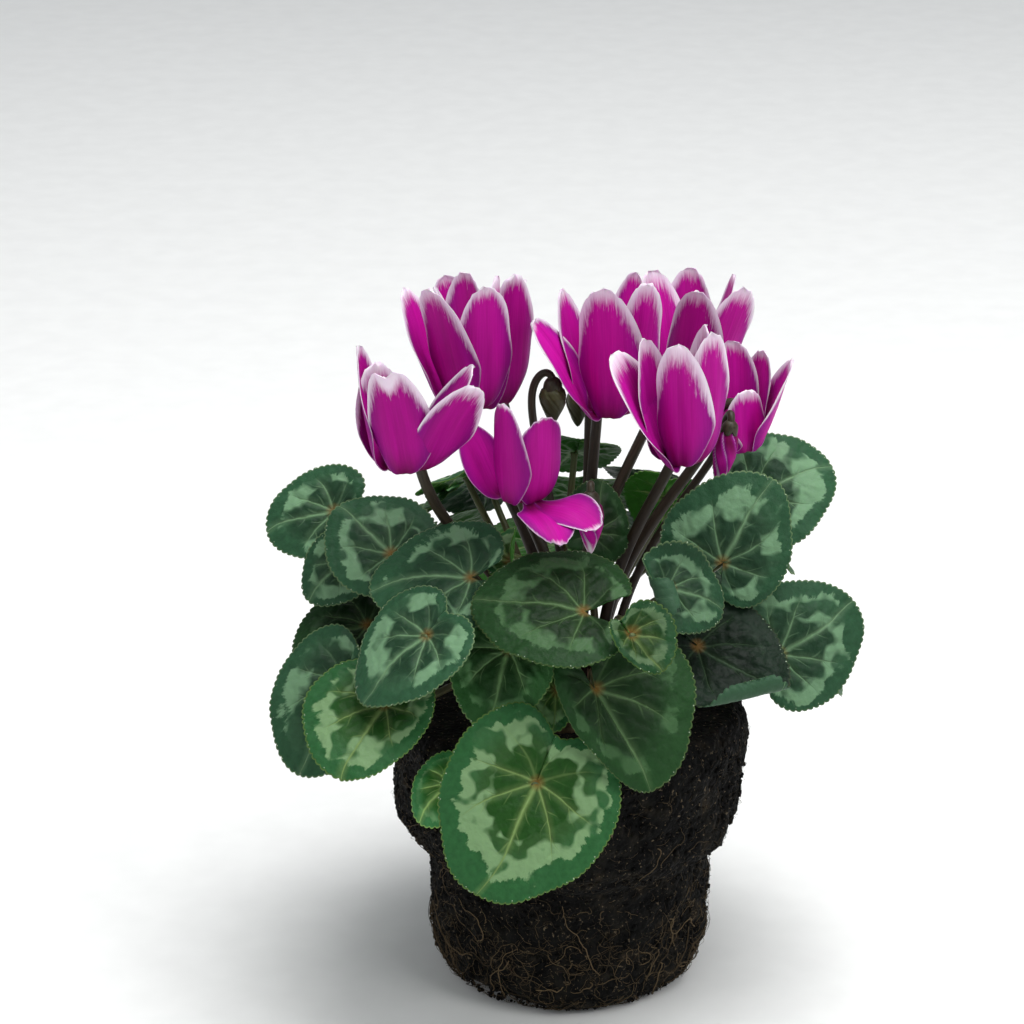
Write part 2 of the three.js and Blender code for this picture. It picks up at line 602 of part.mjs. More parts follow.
// How far the plug's worn side stands proud of its turned shape, at an angle and a height.
function wornBy(angle, height) {
  const edges = Math.min(height / 6, (BALL_HEIGHT - height) / 3, 1);
  const lumps = 0.7 * Math.sin(3 * angle + height / 11)
    + 0.5 * Math.sin(7 * angle - height / 7)
    + 0.4 * Math.sin(11 * angle + height / 4);
  return Math.max(edges, 0) * lumps;
}

const plug = turned(
  [
    [0, 0], [FOOT_RADIUS, 0], [FOOT_RADIUS + 5, 2.5], [BODY_RADIUS - 1, 8], [BODY_RADIUS, 18],
    [BODY_RADIUS, 32], [BODY_RADIUS + 0.5, 43], [COLLAR_RADIUS - 4, COLLAR_FOOT], [COLLAR_RADIUS - 0.5, 53],
    [COLLAR_RADIUS, 72], [COLLAR_RADIUS, 88], [COLLAR_RADIUS - 2.5, BALL_HEIGHT],
    [CORM_RADIUS + SEAT_GAP, BALL_HEIGHT], ...underside(SEAT_GAP).reverse(),
  ],
  BALL_SIDES,
);
const spots = plug.attributes.position;
for (let i = 0; i < spots.count; i++) {
  const x = spots.getX(i);
  const y = spots.getY(i);
  const radius = Math.hypot(x, y);
  if (radius > FOOT_RADIUS) {
    const grown = 1 + wornBy(Math.atan2(y, x), spots.getZ(i)) / radius;
    spots.setXY(i, x * grown, y * grown);
  }
}

// A root that lies half sunk in the plug's side: it wanders down and round, and its ends dive in.
function rootSolid(draw) {
  const points = [];
  let angle = draw() * 2 * Math.PI;
  let height = 12 + 30 * draw() ** 1.5;
  const heading = (draw() - 0.5) * 0.34;
  for (let i = 0; i < 5; i++) {
    const sunk = i === 0 || i === 4 ? 2 : 0.2;
    const radius = BODY_RADIUS + wornBy(angle, height) - sunk;
    points.push(new THREE.Vector3(radius * Math.cos(angle), radius * Math.sin(angle), height));
    angle += heading + (draw() - 0.5) * 0.2;
    height += (draw() - 0.55) * 9;
    height = THREE.MathUtils.clamp(height, 10, 41);
  }
  return rod(new THREE.CatmullRomCurve3(points), 0.8 + 0.4 * draw(), 4, 6);
}

const draw = seededDraw(4711);
let ball = closed(plug);
for (let i = 0; i < ROOTS; i++) {
  ball = ball.add(rootSolid(draw));
}
addNode("root_ball", ball, finishes.peat);

export default plant;
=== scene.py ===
# A florist's cyclamen lifted out of its nursery pot: a plug of dark peat and fine roots, a mound of
# silver-marbled leaves, and nodding magenta blooms whose white-tipped petals sweep back and up.
# Lengths below are in millimetres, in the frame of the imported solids, and MM turns them to metres.

import math
from functools import partial

import bmesh
import bpy
import numpy as np
from mathutils import Matrix, Vector, noise


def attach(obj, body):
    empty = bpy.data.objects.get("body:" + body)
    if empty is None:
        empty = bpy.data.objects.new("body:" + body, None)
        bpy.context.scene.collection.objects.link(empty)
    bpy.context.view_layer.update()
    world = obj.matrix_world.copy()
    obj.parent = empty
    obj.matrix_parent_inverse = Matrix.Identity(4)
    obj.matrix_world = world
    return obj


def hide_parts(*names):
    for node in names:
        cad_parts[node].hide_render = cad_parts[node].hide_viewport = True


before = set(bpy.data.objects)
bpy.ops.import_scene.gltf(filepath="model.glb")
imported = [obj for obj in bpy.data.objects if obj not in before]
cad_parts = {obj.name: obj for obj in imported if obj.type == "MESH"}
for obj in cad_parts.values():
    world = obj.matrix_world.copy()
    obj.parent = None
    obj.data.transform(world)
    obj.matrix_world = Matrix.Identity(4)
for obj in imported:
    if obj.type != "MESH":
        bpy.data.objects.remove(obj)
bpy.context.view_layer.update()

MM = 0.001
UP = np.array([0.0, 0.0, 1.0])
ROUND = 2 * np.pi

# Seeds: one for the plant, and what each kind of draw adds to it.
SEED = 4711
PETAL_SEED = 500
WHITE_SEED = 900
CRUMB_SEED = 31
ROOT_SEED = 57
# Where the streaks of the flowers' stalks and of the buds' start, so that no two are alike.
FLOWER_STREAKS = 70
BUD_STREAKS = 90

# ---------------------------------------------------------------- sizes, as in the part's source

BALL_HEIGHT = 94
BALL_PROFILE = [
    (36, 0), (41, 2.5), (44, 8), (45, 18), (45, 32), (45.5, 46), (52, 51), (55.5, 57), (56.5, 72),
    (56.5, 88), (54, 94),
]
CORM_RADIUS = 26
CORM_MIDDLE = 93
CROWN_RADIUS = 22
CROWN_HEIGHT = 101.5
PIT_RING = 4.8
PIT_DEPTH = 3
LEAF_STALK_RADIUS = 1.25
FLOWER_STALK_RADIUS = 1.8
STALK_INSET = 1.2
PETAL_HALF_WIDTH = 8.4
PETAL_SPIRAL = 0.28
TUBE_RADIUS = 5.2
TUBE_HEIGHT = 7.5
CALYX_GAP = 0.3
CALYX_HEIGHT = 3.3
HOOK_REACH = 8.5
HOOK_DROP = 5
BUD_REACH = 6.5
BUD_STALK_RADIUS = 1.3

# ---------------------------------------------------------------- sizes finer than the solids'

BLADE_HALF_THICKNESS = 0.3
PETAL_HALF_THICKNESS = 0.2
PETAL_WIDEST = 0.6  # share of its length
PETAL_TIP_WIDTH = 9.7
PETAL_BREADTH = 1.05
TOOTH_PITCH = 2.1
TOOTH_DEPTH = 0.55
TOOTH_POINTS = 4
VEIN_ANGLES = np.array([-142.0, -90, -42, 0, 42, 90, 142])
VEIN_END = 192  # the angle of a last vein past the notch, which no blade reaches
VEIN_SINK = 0.5
VEIN_BULGE = 1.3
CURL_HASTE = 1.8  # how much faster a curled side turns than its margin is long
CURL_MOST = 3.6  # radians
PEAT_TOP = 94.2  # clods stand on what lies below it
PLUG_RADIUS = 46  # turns a root's steps to angles
CRUMB_COUNT = 8800

# How finely the pieces are divided. A leaf no longer than SMALL_LEAF has fewer rings.
SMALL_LEAF = 20
SMALL_LEAF_RINGS = 20
LEAF_RINGS = 30
LEAF_STALK_STEPS = 44
STEM_STEPS = 56
HOOK_STEPS = 26
STALK_SIDES = 14
FLOWER_SIDES = 60
PETAL_ROWS, PETAL_COLUMNS = 46, 27
PLUG_ROWS, PLUG_SIDES = 230, 420

# Each leaf: where its stalk stands (ring, azimuth), where its blade's middle is, how the blade
# faces (azimuth, elevation, turn), its length, tone and phase of waves, and what else it has.
# Among the extras, one number scales the whole blade's colour. It is partly the leaf's own tone and
# partly painted shade, or painted light where it is above 1.
LEAF_KEYS = ("foot", "at", "face", "length", "tone", "phase")
LEAF_DEFAULTS = dict(
    gap=12, lop=0, lobes=1, wide=1, cup=0.1, droop=0.1, fold=0, roll=0, wave=0.035,
    rise=30, lean=8, back=16, lift=0, shade=1, silver=1,
)
LEAVES = {
    # The front, from the plug's rim upwards.
    "front_low": ((4, -104), (-11, -84, 103.5), (-88, 28, -28), 39, "young", 40,
        dict(gap=4, cup=0.06, rise=22, lean=30, lift=8, shade=0.7, silver=1.4)),
    "bud_left_low": ((4, -120), (-37.5, -71, 97), (-120, 35, -30), 16, "young", 0,
        dict(rise=16, lean=26, back=10, lift=6, shade=1.5, silver=0.35)),
    "left_low": ((4, -136), (-57, -70, 122.5), (-97, 62, -20), 29, "young", 100,
        dict(lop=0.2, lobes=0.9, shade=0.66, silver=1.1)),
    "left_back_low": ((4, -152), (-70.5, -50, 121), (-115, 40, -15), 31, "old", 200,
        dict(shade=0.86)),
    "left_mid": ((3, -128), (-44, -71, 146), (-128, 50, -25), 28, "old", 10,
        dict(lobes=0.85, back=12, rise=50, lift=10)),
    "left_upper": ((2, -105), (-31, -53, 157.5), (-105, 56, -80), 32, "old", 60,
        dict(lobes=0.5, wide=0.95, gap=30, shade=0.95)),
    "centre": ((3, -86), (3, -70, 153.5), (-78, 62, -108), 34, "mid", 150,
        dict(gap=34, lobes=0.7, cup=0.14, shade=0.52, silver=0.7)),
    "small_right": ((4, -56), (16.5, -83, 151.5), (-70, 40, 25), 15, "young", 20,
        dict(lop=-0.35, lobes=0.9, cup=-0.1, back=10, lift=12, rise=40, shade=0.36, silver=0.8)),
    "right_rolled": ((3, -65), (29, -58, 156), (-60, 38, 60), 20, "old", 80,
        dict(roll=0.5, shade=0.7, curl=(-150, 0.2, 3.5))),
    "dark_left": ((3, -107), (-19.5, -62, 137.5), (-108, 35, -4), 26, "mid", 120,
        dict(lop=0.05, wide=0.95, lobes=0.65, shade=1.35, silver=0.5)),
    "small_low": ((4, -88), (-5, -64, 125), (-100, 25, 0), 13, "young", 0,
        dict(wide=0.8, fold=0.3, shade=0.8)),
    "dark_right": ((4, -72), (6.5, -76, 130.5), (-82, 32, 26), 35, "mid", 70,
        dict(gap=18, lop=-0.42, lobes=0.7, wide=0.86, shade=0.6, silver=0.42)),
    "curled_right": ((4, -40), (38.5, -50, 133.5), (-72, 48, 38), 30, "old", 30,
        dict(cup=-0.12, droop=-0.15, shade=0.2, silver=0.3, curl=(-38, 0.68, 2.6))),
    "upright_right": ((3, -44), (46.5, -38, 156.5), (-88, 12, 150), 30, "old", 90,
        dict(gap=30, lop=-0.1, lobes=0.55, lift=-6, shade=0.86)),
    "far_right": ((4, -24), (64.5, -42, 127.5), (-78, 22, 116), 30, "old", 50,
        dict(gap=42, lobes=0.5, shade=0.82)),
    "marbled_left": ((3, -149), (-56, -32, 157), (-95, 48, -132), 25, "old", 15,
        dict(lobes=0.8, wide=1.05, shade=0.82)),
    "under_marbled": ((3, -170), (-71, -24, 151), (-110, 30, -40), 17, "old", 0, dict(shade=0.8)),
    "grey_left": ((2, 165), (-74.5, -11, 163), (-105, 40, -70), 23, "old", 110),
    "shade_left": ((4, -168), (-64, -25, 130), (-100, 60, -60), 25, "mid", 35,
        dict(shade=0.5, silver=0.4)),
    "tucked_right": ((3, -2), (58, -2, 165), (-80, 40, 110), 29, "old", 140,
        dict(lobes=0.5, gap=40)),
    "young_curl": ((2, -135), (-18.5, -35, 156), (-150, 20, -150), 11, "young", 0,
        dict(fold=0.8, shade=0.6)),
    "dark_centre": ((2, -45), (7, -15, 157.5), (-60, 30, 150), 18, "mid", 5,
        dict(shade=0.5, silver=0.3)),
    # The right side, the back and the left side, low tier.
    "low_east": ((4, -8), (68, -6, 124), (2, 45, -8), 31, "old", 20),
    "low_north_east": ((4, 30), (60, 34, 121), (32, 42, 14), 33, "mid", 75),
    "low_north": ((4, 62), (32, 60, 125), (64, 40, -14), 34, "old", 130),
    "low_behind": ((4, 96), (-8, 68, 121), (97, 42, 18), 33, "young", 190),
    "low_north_west": ((4, 130), (-46, 55, 125), (130, 42, -14), 33, "mid", 245),
    "low_west": ((4, 163), (-68, 20, 122), (164, 44, 12), 31, "old", 300),
    # The middle tier behind.
    "mid_east": ((3, 18), (54, 21, 144), (16, 56, 10), 28, "mid", 45),
    "mid_north_east": ((3, 50), (30, 44, 150), (58, 55, -20), 31, "old", 100),
    "mid_behind": ((3, 85), (4, 52, 145), (86, 55, 12), 32, "mid", 155),
    "mid_north_west": ((3, 118), (-26, 45, 152), (118, 56, -18), 31, "old", 210),
    "mid_west": ((3, 150), (-48, 26, 148), (152, 55, 15), 30, "mid", 265),
    # The top of the mound, among the flower stalks.
    "top_behind": ((2, 105), (2, 22, 171), (85, 55, 20), 22, "mid", 60),
    "top_west": ((2, 135), (-33, 8, 168), (140, 62, -30), 24, "young", 120),
    "top_east": ((2, 45), (31, 13, 159), (75, 30, 10), 20, "young", 180),
}

# A bloom's brightness number scales the colour of all its petals. It is painted shade below 1 and
# painted light above it, for how much light the bloom's petals catch.
# A petal: its azimuth from the stalk's far side and its lean in degrees, its size, how far its tip
# sweeps sideways, its breadth and its twist in degrees.
BLOOMS = {
    "left": dict(foot=(2, -165), mouth=(-51, -50, 191.5), side=62, tip=(180, 4), length=40,
        climb=(0.35, 0.3), heart=3.2, white=0.85, shade=0.8,
        petals=((33, 6, 0.92, -0.09, 1.02, 0), (86, 34, 0.88, 0.03, 0.92, -28),
                (137, 28, 0.84, -0.1, 1, 12), (-63, 6, 0.93, -0.22, 0.88, 0),
                (-110, 4, 0.8, 0, 0.9, 0))),
    "low": dict(foot=(1, -95), mouth=(-16, -46, 180.5), side=100, tip=(-90, 3), length=34,
        white=0.15, shade=0.86,
        petals=((-46, 3, 1, 0, 0.86, 0), (42, 5, 0.88, -0.08, 1.05, 0),
                (20, 108, 0.53, -0.05, 0.85, -12), (52, 102, 0.58, -0.1, 0.85, 14),
                (-122, 24, 0.74, 0.12, 0.98, 0))),
    "rear_left": dict(foot=(1, -155), mouth=(-31.5, -20, 201), side=120, tip=(190, 6), length=43,
        petals=((-112, 12, 0.95, -0.06, 0.95, -18), (-54, 9, 1.02, -0.04, 0.95, 0),
                (8, 6, 0.95, 0.05, 1, 0), (65, 8, 0.92, 0.1, 1, 0), (122, 8, 0.92, 0.1, 1, 0))),
    "rear_middle": dict(foot=(1, 145), mouth=(-26, 10, 191), side=62, tip=(180, 3), length=44,
        petals=((20, 9, 1.07, -0.07, 0.95, 0), (88, 6, 1.02, 0, 0.92, -15),
                (124, 10, 0.9, 0.1, 1, 0), (-44, 10, 0.95, 0, 1, 0),
                (-112, 8, 0.95, 0.1, 1, 0))),
    "middle": dict(foot=(1, -35), mouth=(11.5, -6, 193.5), side=110, tip=(0, 2), length=46,
        shade=1.15,
        petals=((-19, 9, 1, -0.09, 1.12, 0), (46, 7, 1.02, -0.12, 0.9, -22),
                (120, 12, 0.93, 0.1, 0.95, 0), (-72, 35, 0.95, 0.02, 1.14, -36),
                (-122, 12, 0.9, 0.1, 1, 0))),
    "right": dict(foot=(2, -15), mouth=(33.5, -32, 187.5), side=95, tip=(-90, 3), length=44,
        shade=0.92,
        petals=((-10, 3, 0.95, -0.04, 0.95, 0), (55, 3, 1, -0.02, 0.88, -12),
                (120, 6, 0.93, 0.1, 0.95, 0), (-45, 16, 0.88, -0.35, 1.35, -55),
                (-115, 5, 0.93, 0.15, 0.97, 0))),
    "far_right": dict(foot=(2, 15), mouth=(52.5, -2, 181.5), side=160, tip=(0, 4), length=36,
        shade=1.12,
        petals=((-42, 0, 0.6, -0.16, 0.9, 26), (3, 14, 0.89, -0.02, 1.1, 30),
                (66, 10, 0.8, 0.1, 0.85, 0), (-118, 33, 0.42, 0.15, 0.88, 10),
                (110, 10, 0.86, 0.1, 0.95, 0))),
    "rear_right": dict(foot=(1, 85), mouth=(38, 30, 189), side=200, tip=(60, 5), length=38,
        petals=((-4, 12, 1, 0.1, 1, 0), (56, 14, 1, 0.1, 1, 0), (115, 16, 1, 0, 1, 0),
                (-64, 16, 1, 0.1, 1, 0), (-122, 14, 1, 0.1, 1, 0))),
}

BUDS = {
    "hooked": dict(foot=(0, 0), mouth=(-6, -26, 197.5), side=175, tip=(0, 0), length=12, radius=4.2,
        pink=False),
    "beside": dict(foot=(1, 20), mouth=(2.5, 15, 182), side=-60, tip=(0, 0), length=12, radius=3.8,
        pink=False),
    "pink_tipped": dict(foot=(2, -75), mouth=(5.5, -40, 160), side=90, tip=(0, 0), length=17,
        radius=4.2, pink=True),
    "striped": dict(foot=(3, -23), mouth=(45, -24, 175.5), side=100, tip=(0, 10), length=19,
        radius=3.8, pink=True),
}
# ---------------------------------------------------------------- nodes and colours


def linear(hex_colour):
    """An sRGB hex colour as linear red, green, blue and alpha."""
    values = [int(hex_colour[i:i + 2], 16) / 255 for i in (1, 3, 5)]
    return [v / 12.92 if v <= 0.04045 else ((v + 0.055) / 1.055) ** 2.4 for v in values] + [1.0]


def add_node(tree, kind, inputs=(), stops=(), output=None, **settings):
    """Adds a node with its settings, values and links, and returns the output it is used by. The
    inputs are a dictionary by name or number, or a tuple in the node's own order."""
    made = tree.nodes.new("ShaderNode" + kind)
    for name, value in settings.items():
        setattr(made, name, value)
    for key, value in inputs.items() if isinstance(inputs, dict) else enumerate(inputs):
        if isinstance(key, int):
            socket = made.inputs[key]
        else:
            socket = next(s for s in made.inputs if s.name == key and s.enabled)
        if isinstance(value, bpy.types.NodeSocket):
            tree.links.new(value, socket)
        else:
            socket.default_value = value
    if stops:
        while len(made.color_ramp.elements) < len(stops):
            made.color_ramp.elements.new(1.0)
        for element, (place, colour) in zip(made.color_ramp.elements, stops):
            element.position = place
            element.color = linear(colour)
    if output:
        return made.outputs[output]
    return next((s for s in made.outputs if s.enabled), None)


def new_material(name):
    """An empty material, and `add_node` for its own node tree."""
    material = bpy.data.materials.new(name)
    material.use_nodes = True
    material.node_tree.nodes.clear()
    return material, partial(add_node, material.node_tree)


# ---------------------------------------------------------------- materials

SMOOTH = dict(interpolation_type="SMOOTHSTEP")
TIMES = dict(operation="MULTIPLY")
TIMES_PLUS = dict(operation="MULTIPLY_ADD")
VEIN_SPACING = 8.5
LEAF_SPECKS = "#97a68d"
LEAF_HEART = "#6a4a1c"
PEAT_DUST = "#5d5242"


def waxy_leaf(name, centre, outer, band, vein, margin, under):
    """A living leaf blade under its wax: a dark middle and a broken silver band with feathered
    edges, pale veins in a fan from the stalk, and a satin skin with a soft shine."""
    material, add = new_material(name)
    fan, pitch, out, share, rim, back, shade, silvered = (
        add("Attribute", attribute_name=mark, output="Fac")
        for mark in ("fan", "pitch", "out", "share", "rim", "back", "shade", "silver")
    )
    flat = add("Attribute", attribute_name="flat", output="Vector")
    away = add("Attribute", attribute_name="radial", output="Vector")

    # The main veins: where `fan` is a whole number. The middle one looks 1.7 mm wide at the stalk
    # and the others 1 mm, and they taper.
    offset = add("Math", (fan, 0.5, -0.5), operation="WRAP")
    angle = add("Math", (offset, pitch), **TIMES)
    aside, along = (
        add("Math", (add("Math", (angle,), operation=way), out), **TIMES)
        for way in ("SINE", "COSINE")
    )
    distance = add("Math", (aside,), operation="ABSOLUTE")
    spread = add("Math", (fan,), operation="ABSOLUTE")
    midrib = add("Math", (spread, 0.45), operation="LESS_THAN")
    girth = add("Math", (midrib, 0.6, 0.9), **TIMES_PLUS)
    taper = add("Math", (1.15, share), operation="SUBTRACT")
    width = add("Math", (girth, taper), **TIMES)
    main = add("MapRange", (distance, width, 0), **SMOOTH)
    ends = add("MapRange", (share, 0.78, 0.55))
    reach = add("Math", (ends, midrib), operation="MAXIMUM")
    upper = add("MapRange", (spread, 3, 1.8, 0.3))
    reach = add("Math", (reach, upper), **TIMES)
    main = add("Math", (main, reach), **TIMES)

    # The side veins leave them at about 40 degrees, with uneven steps between.
    flank = add("Math", (aside, 0), operation="GREATER_THAN")
    slant = add("Math", (distance, -1.15, along), **TIMES_PLUS)
    rung = add("Math", (slant, VEIN_SPACING), operation="DIVIDE")
    wander = add("TexNoise", {"Vector": flat, "Scale": 0.09, "Detail": 1})
    for factor, strength in ((flank, 0.43), (wander, 1.2)):
        rung = add("Math", (factor, strength, rung), **TIMES_PLUS)
    rung = add("Math", (rung, 0.5, -0.5), operation="WRAP")
    rung = add("Math", (rung,), operation="ABSOLUTE")
    side = add("MapRange", (rung, 0.06, 0))
    near = add("MapRange", (distance, 4, 1.2))
    for factor in (near, ends, upper, 0.5):
        side = add("Math", (side, factor), **TIMES)
    veins = add("Math", (main, side), operation="MAXIMUM")

    # The silver band, from half to four fifths of the way out, feathered along the spokes by 1 to
    # 2 mm and broken every centimetre or two.
    patch = add("TexNoise", {"Vector": flat, "Scale": 0.1, "Detail": 2})
    feather = add("TexNoise", {"Vector": away, "Scale": 1.3, "Detail": 5, "Roughness": 0.7})
    ragged = add("Math", (feather, 0.26, share), **TIMES_PLUS)
    inner = add("Math", (patch, -0.62, share), **TIMES_PLUS)
    inner = add("Math", (silvered, 0.2, inner), **TIMES_PLUS)
    silver = add("MapRange", (inner, 0.41, 0.48))
    outer_edge = add("Math", (patch, 0.6, ragged), **TIMES_PLUS)
    outer_edge = add("MapRange", (outer_edge, 1.245, 1.21))
    cloud = add("TexNoise", {"Vector": flat, "Scale": 0.11, "Detail": 1.5})
    cloud = add("MapRange", (cloud, 0.43, 0.5, 0.06, 1))
    for factor in (outer_edge, cloud, silvered):
        silver = add("Math", (silver, factor), **TIMES)

    # What lies over what, from the middle's own green up: how much shows of a colour, or a
    # brightness and None. Pale specks lie in the last millimetre before the margin, and a brown
    # heart where the stalk comes in. The first brightness is a random mottle. The second is the
    # leaf's own number, partly its tone and partly painted shade or painted light.
    zone = add("MapRange", (share, 0.5, 0.8), **SMOOTH)
    halo = add("MapRange", (distance, 2.2, 0.3, 0, 0.28))
    halo = add("Math", (halo, reach), **TIMES)
    mottle = add("TexNoise", {"Vector": flat, "Scale": 0.5, "Detail": 4})
    lively = add("MapRange", (mottle, 0, 1, 0.66, 1.34))
    edge = add("MapRange", (rim, 0.6, 0, 0, 0.8))
    specks = add("TexVoronoi", {"Vector": flat, "Scale": 0.8})
    specks = add("Math", (specks, 0.16), operation="LESS_THAN")
    border = add("MapRange", (rim, 1.2, 0.8))
    specks = add("Math", (specks, border), **TIMES)
    heart = add("MapRange", (out, 3, 0.6, 0, 0.9))
    tint = linear(centre)
    for factor, colour in (
        (zone, outer), (halo, vein), (lively, None), (silver, band), (veins, vein),
        (edge, margin), (shade, None), (specks, LEAF_SPECKS), (heart, LEAF_HEART),
    ):
        if colour:
            layer = {"Factor": factor, "A": tint, "B": linear(colour)}
            tint = add("Mix", layer, data_type="RGBA")
        else:
            tint = add("VectorMath", {0: tint, 3: factor}, operation="SCALE")
    below = add("Mix", {"Factor": veins, "A": linear(under), "B": linear(vein)}, data_type="RGBA")
    tint = add("Mix", {"Factor": back, "A": tint, "B": below}, data_type="RGBA")

    # Cushions 3 mm across between the fine net of veins, and a skin that is a little uneven.
    cushions = add("TexVoronoi", {"Vector": flat, "Scale": 0.33}, feature="SMOOTH_F1")
    relief = add("Math", (veins, -0.7, mottle), **TIMES_PLUS)
    relief = add("Math", (cushions, -0.9, relief), **TIMES_PLUS)
    bump = add("Bump", {"Height": relief, "Strength": 0.6, "Distance": 0.0008})
    gloss = add("MapRange", (mottle, 0, 1, 0.36, 0.56))
    skin = add("BsdfPrincipled", {
        "Base Color": tint, "Roughness": gloss, "IOR": 1.4, "Specular IOR Level": 0.15,
        "Normal": bump, "Subsurface Weight": 0.08, "Subsurface Radius": (0.6, 1.0, 0.3),
        "Subsurface Scale": 0.001,
    })
    add("OutputMaterial", {"Surface": skin})
    return material


def silky_petal(name, throat, middle, flank, pale):
    """A fresh petal: fine cells make it silky, crimson at the throat and purple at its flanks, with
    white feathering in from its tip along fine streaks and a thin pale rim all round."""
    material, add = new_material(name)
    share, rim, side, white, depth = (
        add("Attribute", attribute_name=mark, output="Fac")
        for mark in ("share", "rim", "side", "white", "depth")
    )
    grain = add("Attribute", attribute_name="grain", output="Vector")

    # Streaks 0.5 mm wide that run from the throat to the tip, over broader ones.
    streaks = add("TexNoise", {"Vector": grain, "Scale": 1, "Detail": 3, "Roughness": 0.6})
    broad = add("TexNoise", {"Vector": grain, "Scale": 0.22, "Detail": 2})
    lively = add("Math", (streaks, broad), operation="ADD")
    shade = add("MapRange", (lively, 0.6, 1.4, 0.8, 1.2))
    # The depth mark scales this for the whole bloom. It is painted shade below 1 and painted light
    # above it.
    shade = add("Math", (shade, depth), **TIMES)

    # How far the white comes in from the edge: a quarter of a millimetre low down, and up to 5 mm
    # at the tip of a white-tipped petal, more or less from feather to feather.
    tip = add("MapRange", (share, 0.5, 1), **SMOOTH)
    shown = add("Math", (tip, white), **TIMES)
    depth = add("Math", (shown, 4.4, 0.26), **TIMES_PLUS)
    feathers = add("Mapping", {"Vector": grain, "Scale": (0.9, 3, 1)})
    feathers = add("TexNoise", {"Vector": feathers, "Scale": 1, "Detail": 4, "Roughness": 0.65})
    ragged = add("MapRange", (feathers, 0.3, 0.7, 0.6, 1.6))
    ratio = add("Math", (rim, depth), operation="DIVIDE")
    ratio = add("Math", (ratio, ragged), **TIMES)
    frost = add("MapRange", (ratio, 1.4, 0), **SMOOTH)
    strong = add("MapRange", (shown, 0, 0.2, 0.32, 0.96))
    frost = add("Math", (frost, strong), **TIMES)

    climb = add("MapRange", (share, 0.12, 0.55), **SMOOTH)
    outward = add("MapRange", (side, 0.35, 1.05), **SMOOTH)
    tint = linear(throat)
    for factor, colour in ((climb, middle), (outward, flank), (shade, None), (frost, pale)):
        if colour:
            layer = {"Factor": factor, "A": tint, "B": linear(colour)}
            tint = add("Mix", layer, data_type="RGBA")
        else:
            tint = add("VectorMath", {0: tint, 3: factor}, operation="SCALE")
    bump = add("Bump", {"Height": lively, "Strength": 0.35, "Distance": 0.0003})
    skin = add("BsdfPrincipled", {
        "Base Color": tint, "Roughness": 0.55, "IOR": 1.36, "Specular IOR Level": 0.15,
        "Normal": bump, "Subsurface Weight": 0.25, "Subsurface Radius": (1.0, 0.2, 0.7),
        "Subsurface Scale": 0.0012,
    })
    add("OutputMaterial", {"Surface": skin})
    return material


def fleshy_stalk(name, low, high, streak):
    """A fleshy stem: brown-purple skin over green, darker in fine lengthwise streaks, satin."""
    material, add = new_material(name)
    share = add("Attribute", attribute_name="share", output="Fac")
    grain = add("Attribute", attribute_name="grain", output="Vector")
    streaks = add("TexNoise", {"Vector": grain, "Scale": 1, "Detail": 3})
    dark = add("MapRange", (streaks, 0.45, 0.7, 0, 0.7))
    tint = linear(low)
    for factor, colour in ((share, high), (dark, streak)):
        layer = {"Factor": factor, "A": tint, "B": linear(colour)}
        tint = add("Mix", layer, data_type="RGBA")
    bump = add("Bump", {"Height": streaks, "Strength": 0.3, "Distance": 0.0003})
    skin = add("BsdfPrincipled", {
        "Base Color": tint, "Roughness": 0.42, "IOR": 1.4, "Specular IOR Level": 0.4,
        "Normal": bump, "Subsurface Weight": 0.06, "Subsurface Radius": (1.0, 0.5, 0.3),
        "Subsurface Scale": 0.001,
    })
    add("OutputMaterial", {"Surface": skin})
    return material


def milled_peat():
    """Damp milled peat: nearly black crumbs 1 to 3 mm across with a few paler fibres, dead matt."""
    material, add = new_material("milled_peat")
    where = add("TexCoord", output="Object")
    crumbs = add("TexVoronoi", {"Vector": where, "Scale": 520})
    clods = add("TexNoise", {"Vector": where, "Scale": 160, "Detail": 6})
    stops = [(0.30, "#050505"), (0.50, "#0f0f0e"), (0.63, "#1b1915"), (0.78, "#332b21")]
    tint = add("ValToRGB", {"Fac": clods}, stops=stops)
    dust = add("TexNoise", {"Vector": where, "Scale": 900, "Detail": 2})
    dust = add("MapRange", (dust, 0.64, 0.72))
    tint = add("Mix", {"Factor": dust, "A": tint, "B": linear(PEAT_DUST)}, data_type="RGBA")
    relief = add("Math", (crumbs, -0.8, clods), **TIMES_PLUS)
    bump = add("Bump", {"Height": relief, "Strength": 0.9, "Distance": 0.0015})
    skin = add("BsdfPrincipled", {
        "Base Color": tint, "Roughness": 0.85, "IOR": 1.4, "Specular IOR Level": 0.15,
        "Normal": bump,
    })
    add("OutputMaterial", {"Surface": skin})
    return material


def live_root(name, low, high):
    """Live and dead feeder roots: tan to dark brown bark with a dry matt surface."""
    material, add = new_material(name)
    tone = add("Attribute", attribute_name="tone", output="Fac")
    where = add("TexCoord", output="Object")
    stains = add("TexNoise", {"Vector": where, "Scale": 400, "Detail": 3})
    blend = add("Math", (stains, 0.5, tone), **TIMES_PLUS)
    blend = add("MapRange", (blend, 0.2, 1.25))
    tint = add("Mix", {"Factor": blend, "A": linear(low), "B": linear(high)}, data_type="RGBA")
    bump = add("Bump", {"Height": stains, "Strength": 0.4, "Distance": 0.0003})
    skin = add("BsdfPrincipled", {
        "Base Color": tint, "Roughness": 0.7, "IOR": 1.4, "Specular IOR Level": 0.2,
        "Normal": bump,
    })
    add("OutputMaterial", {"Surface": skin})
    return material


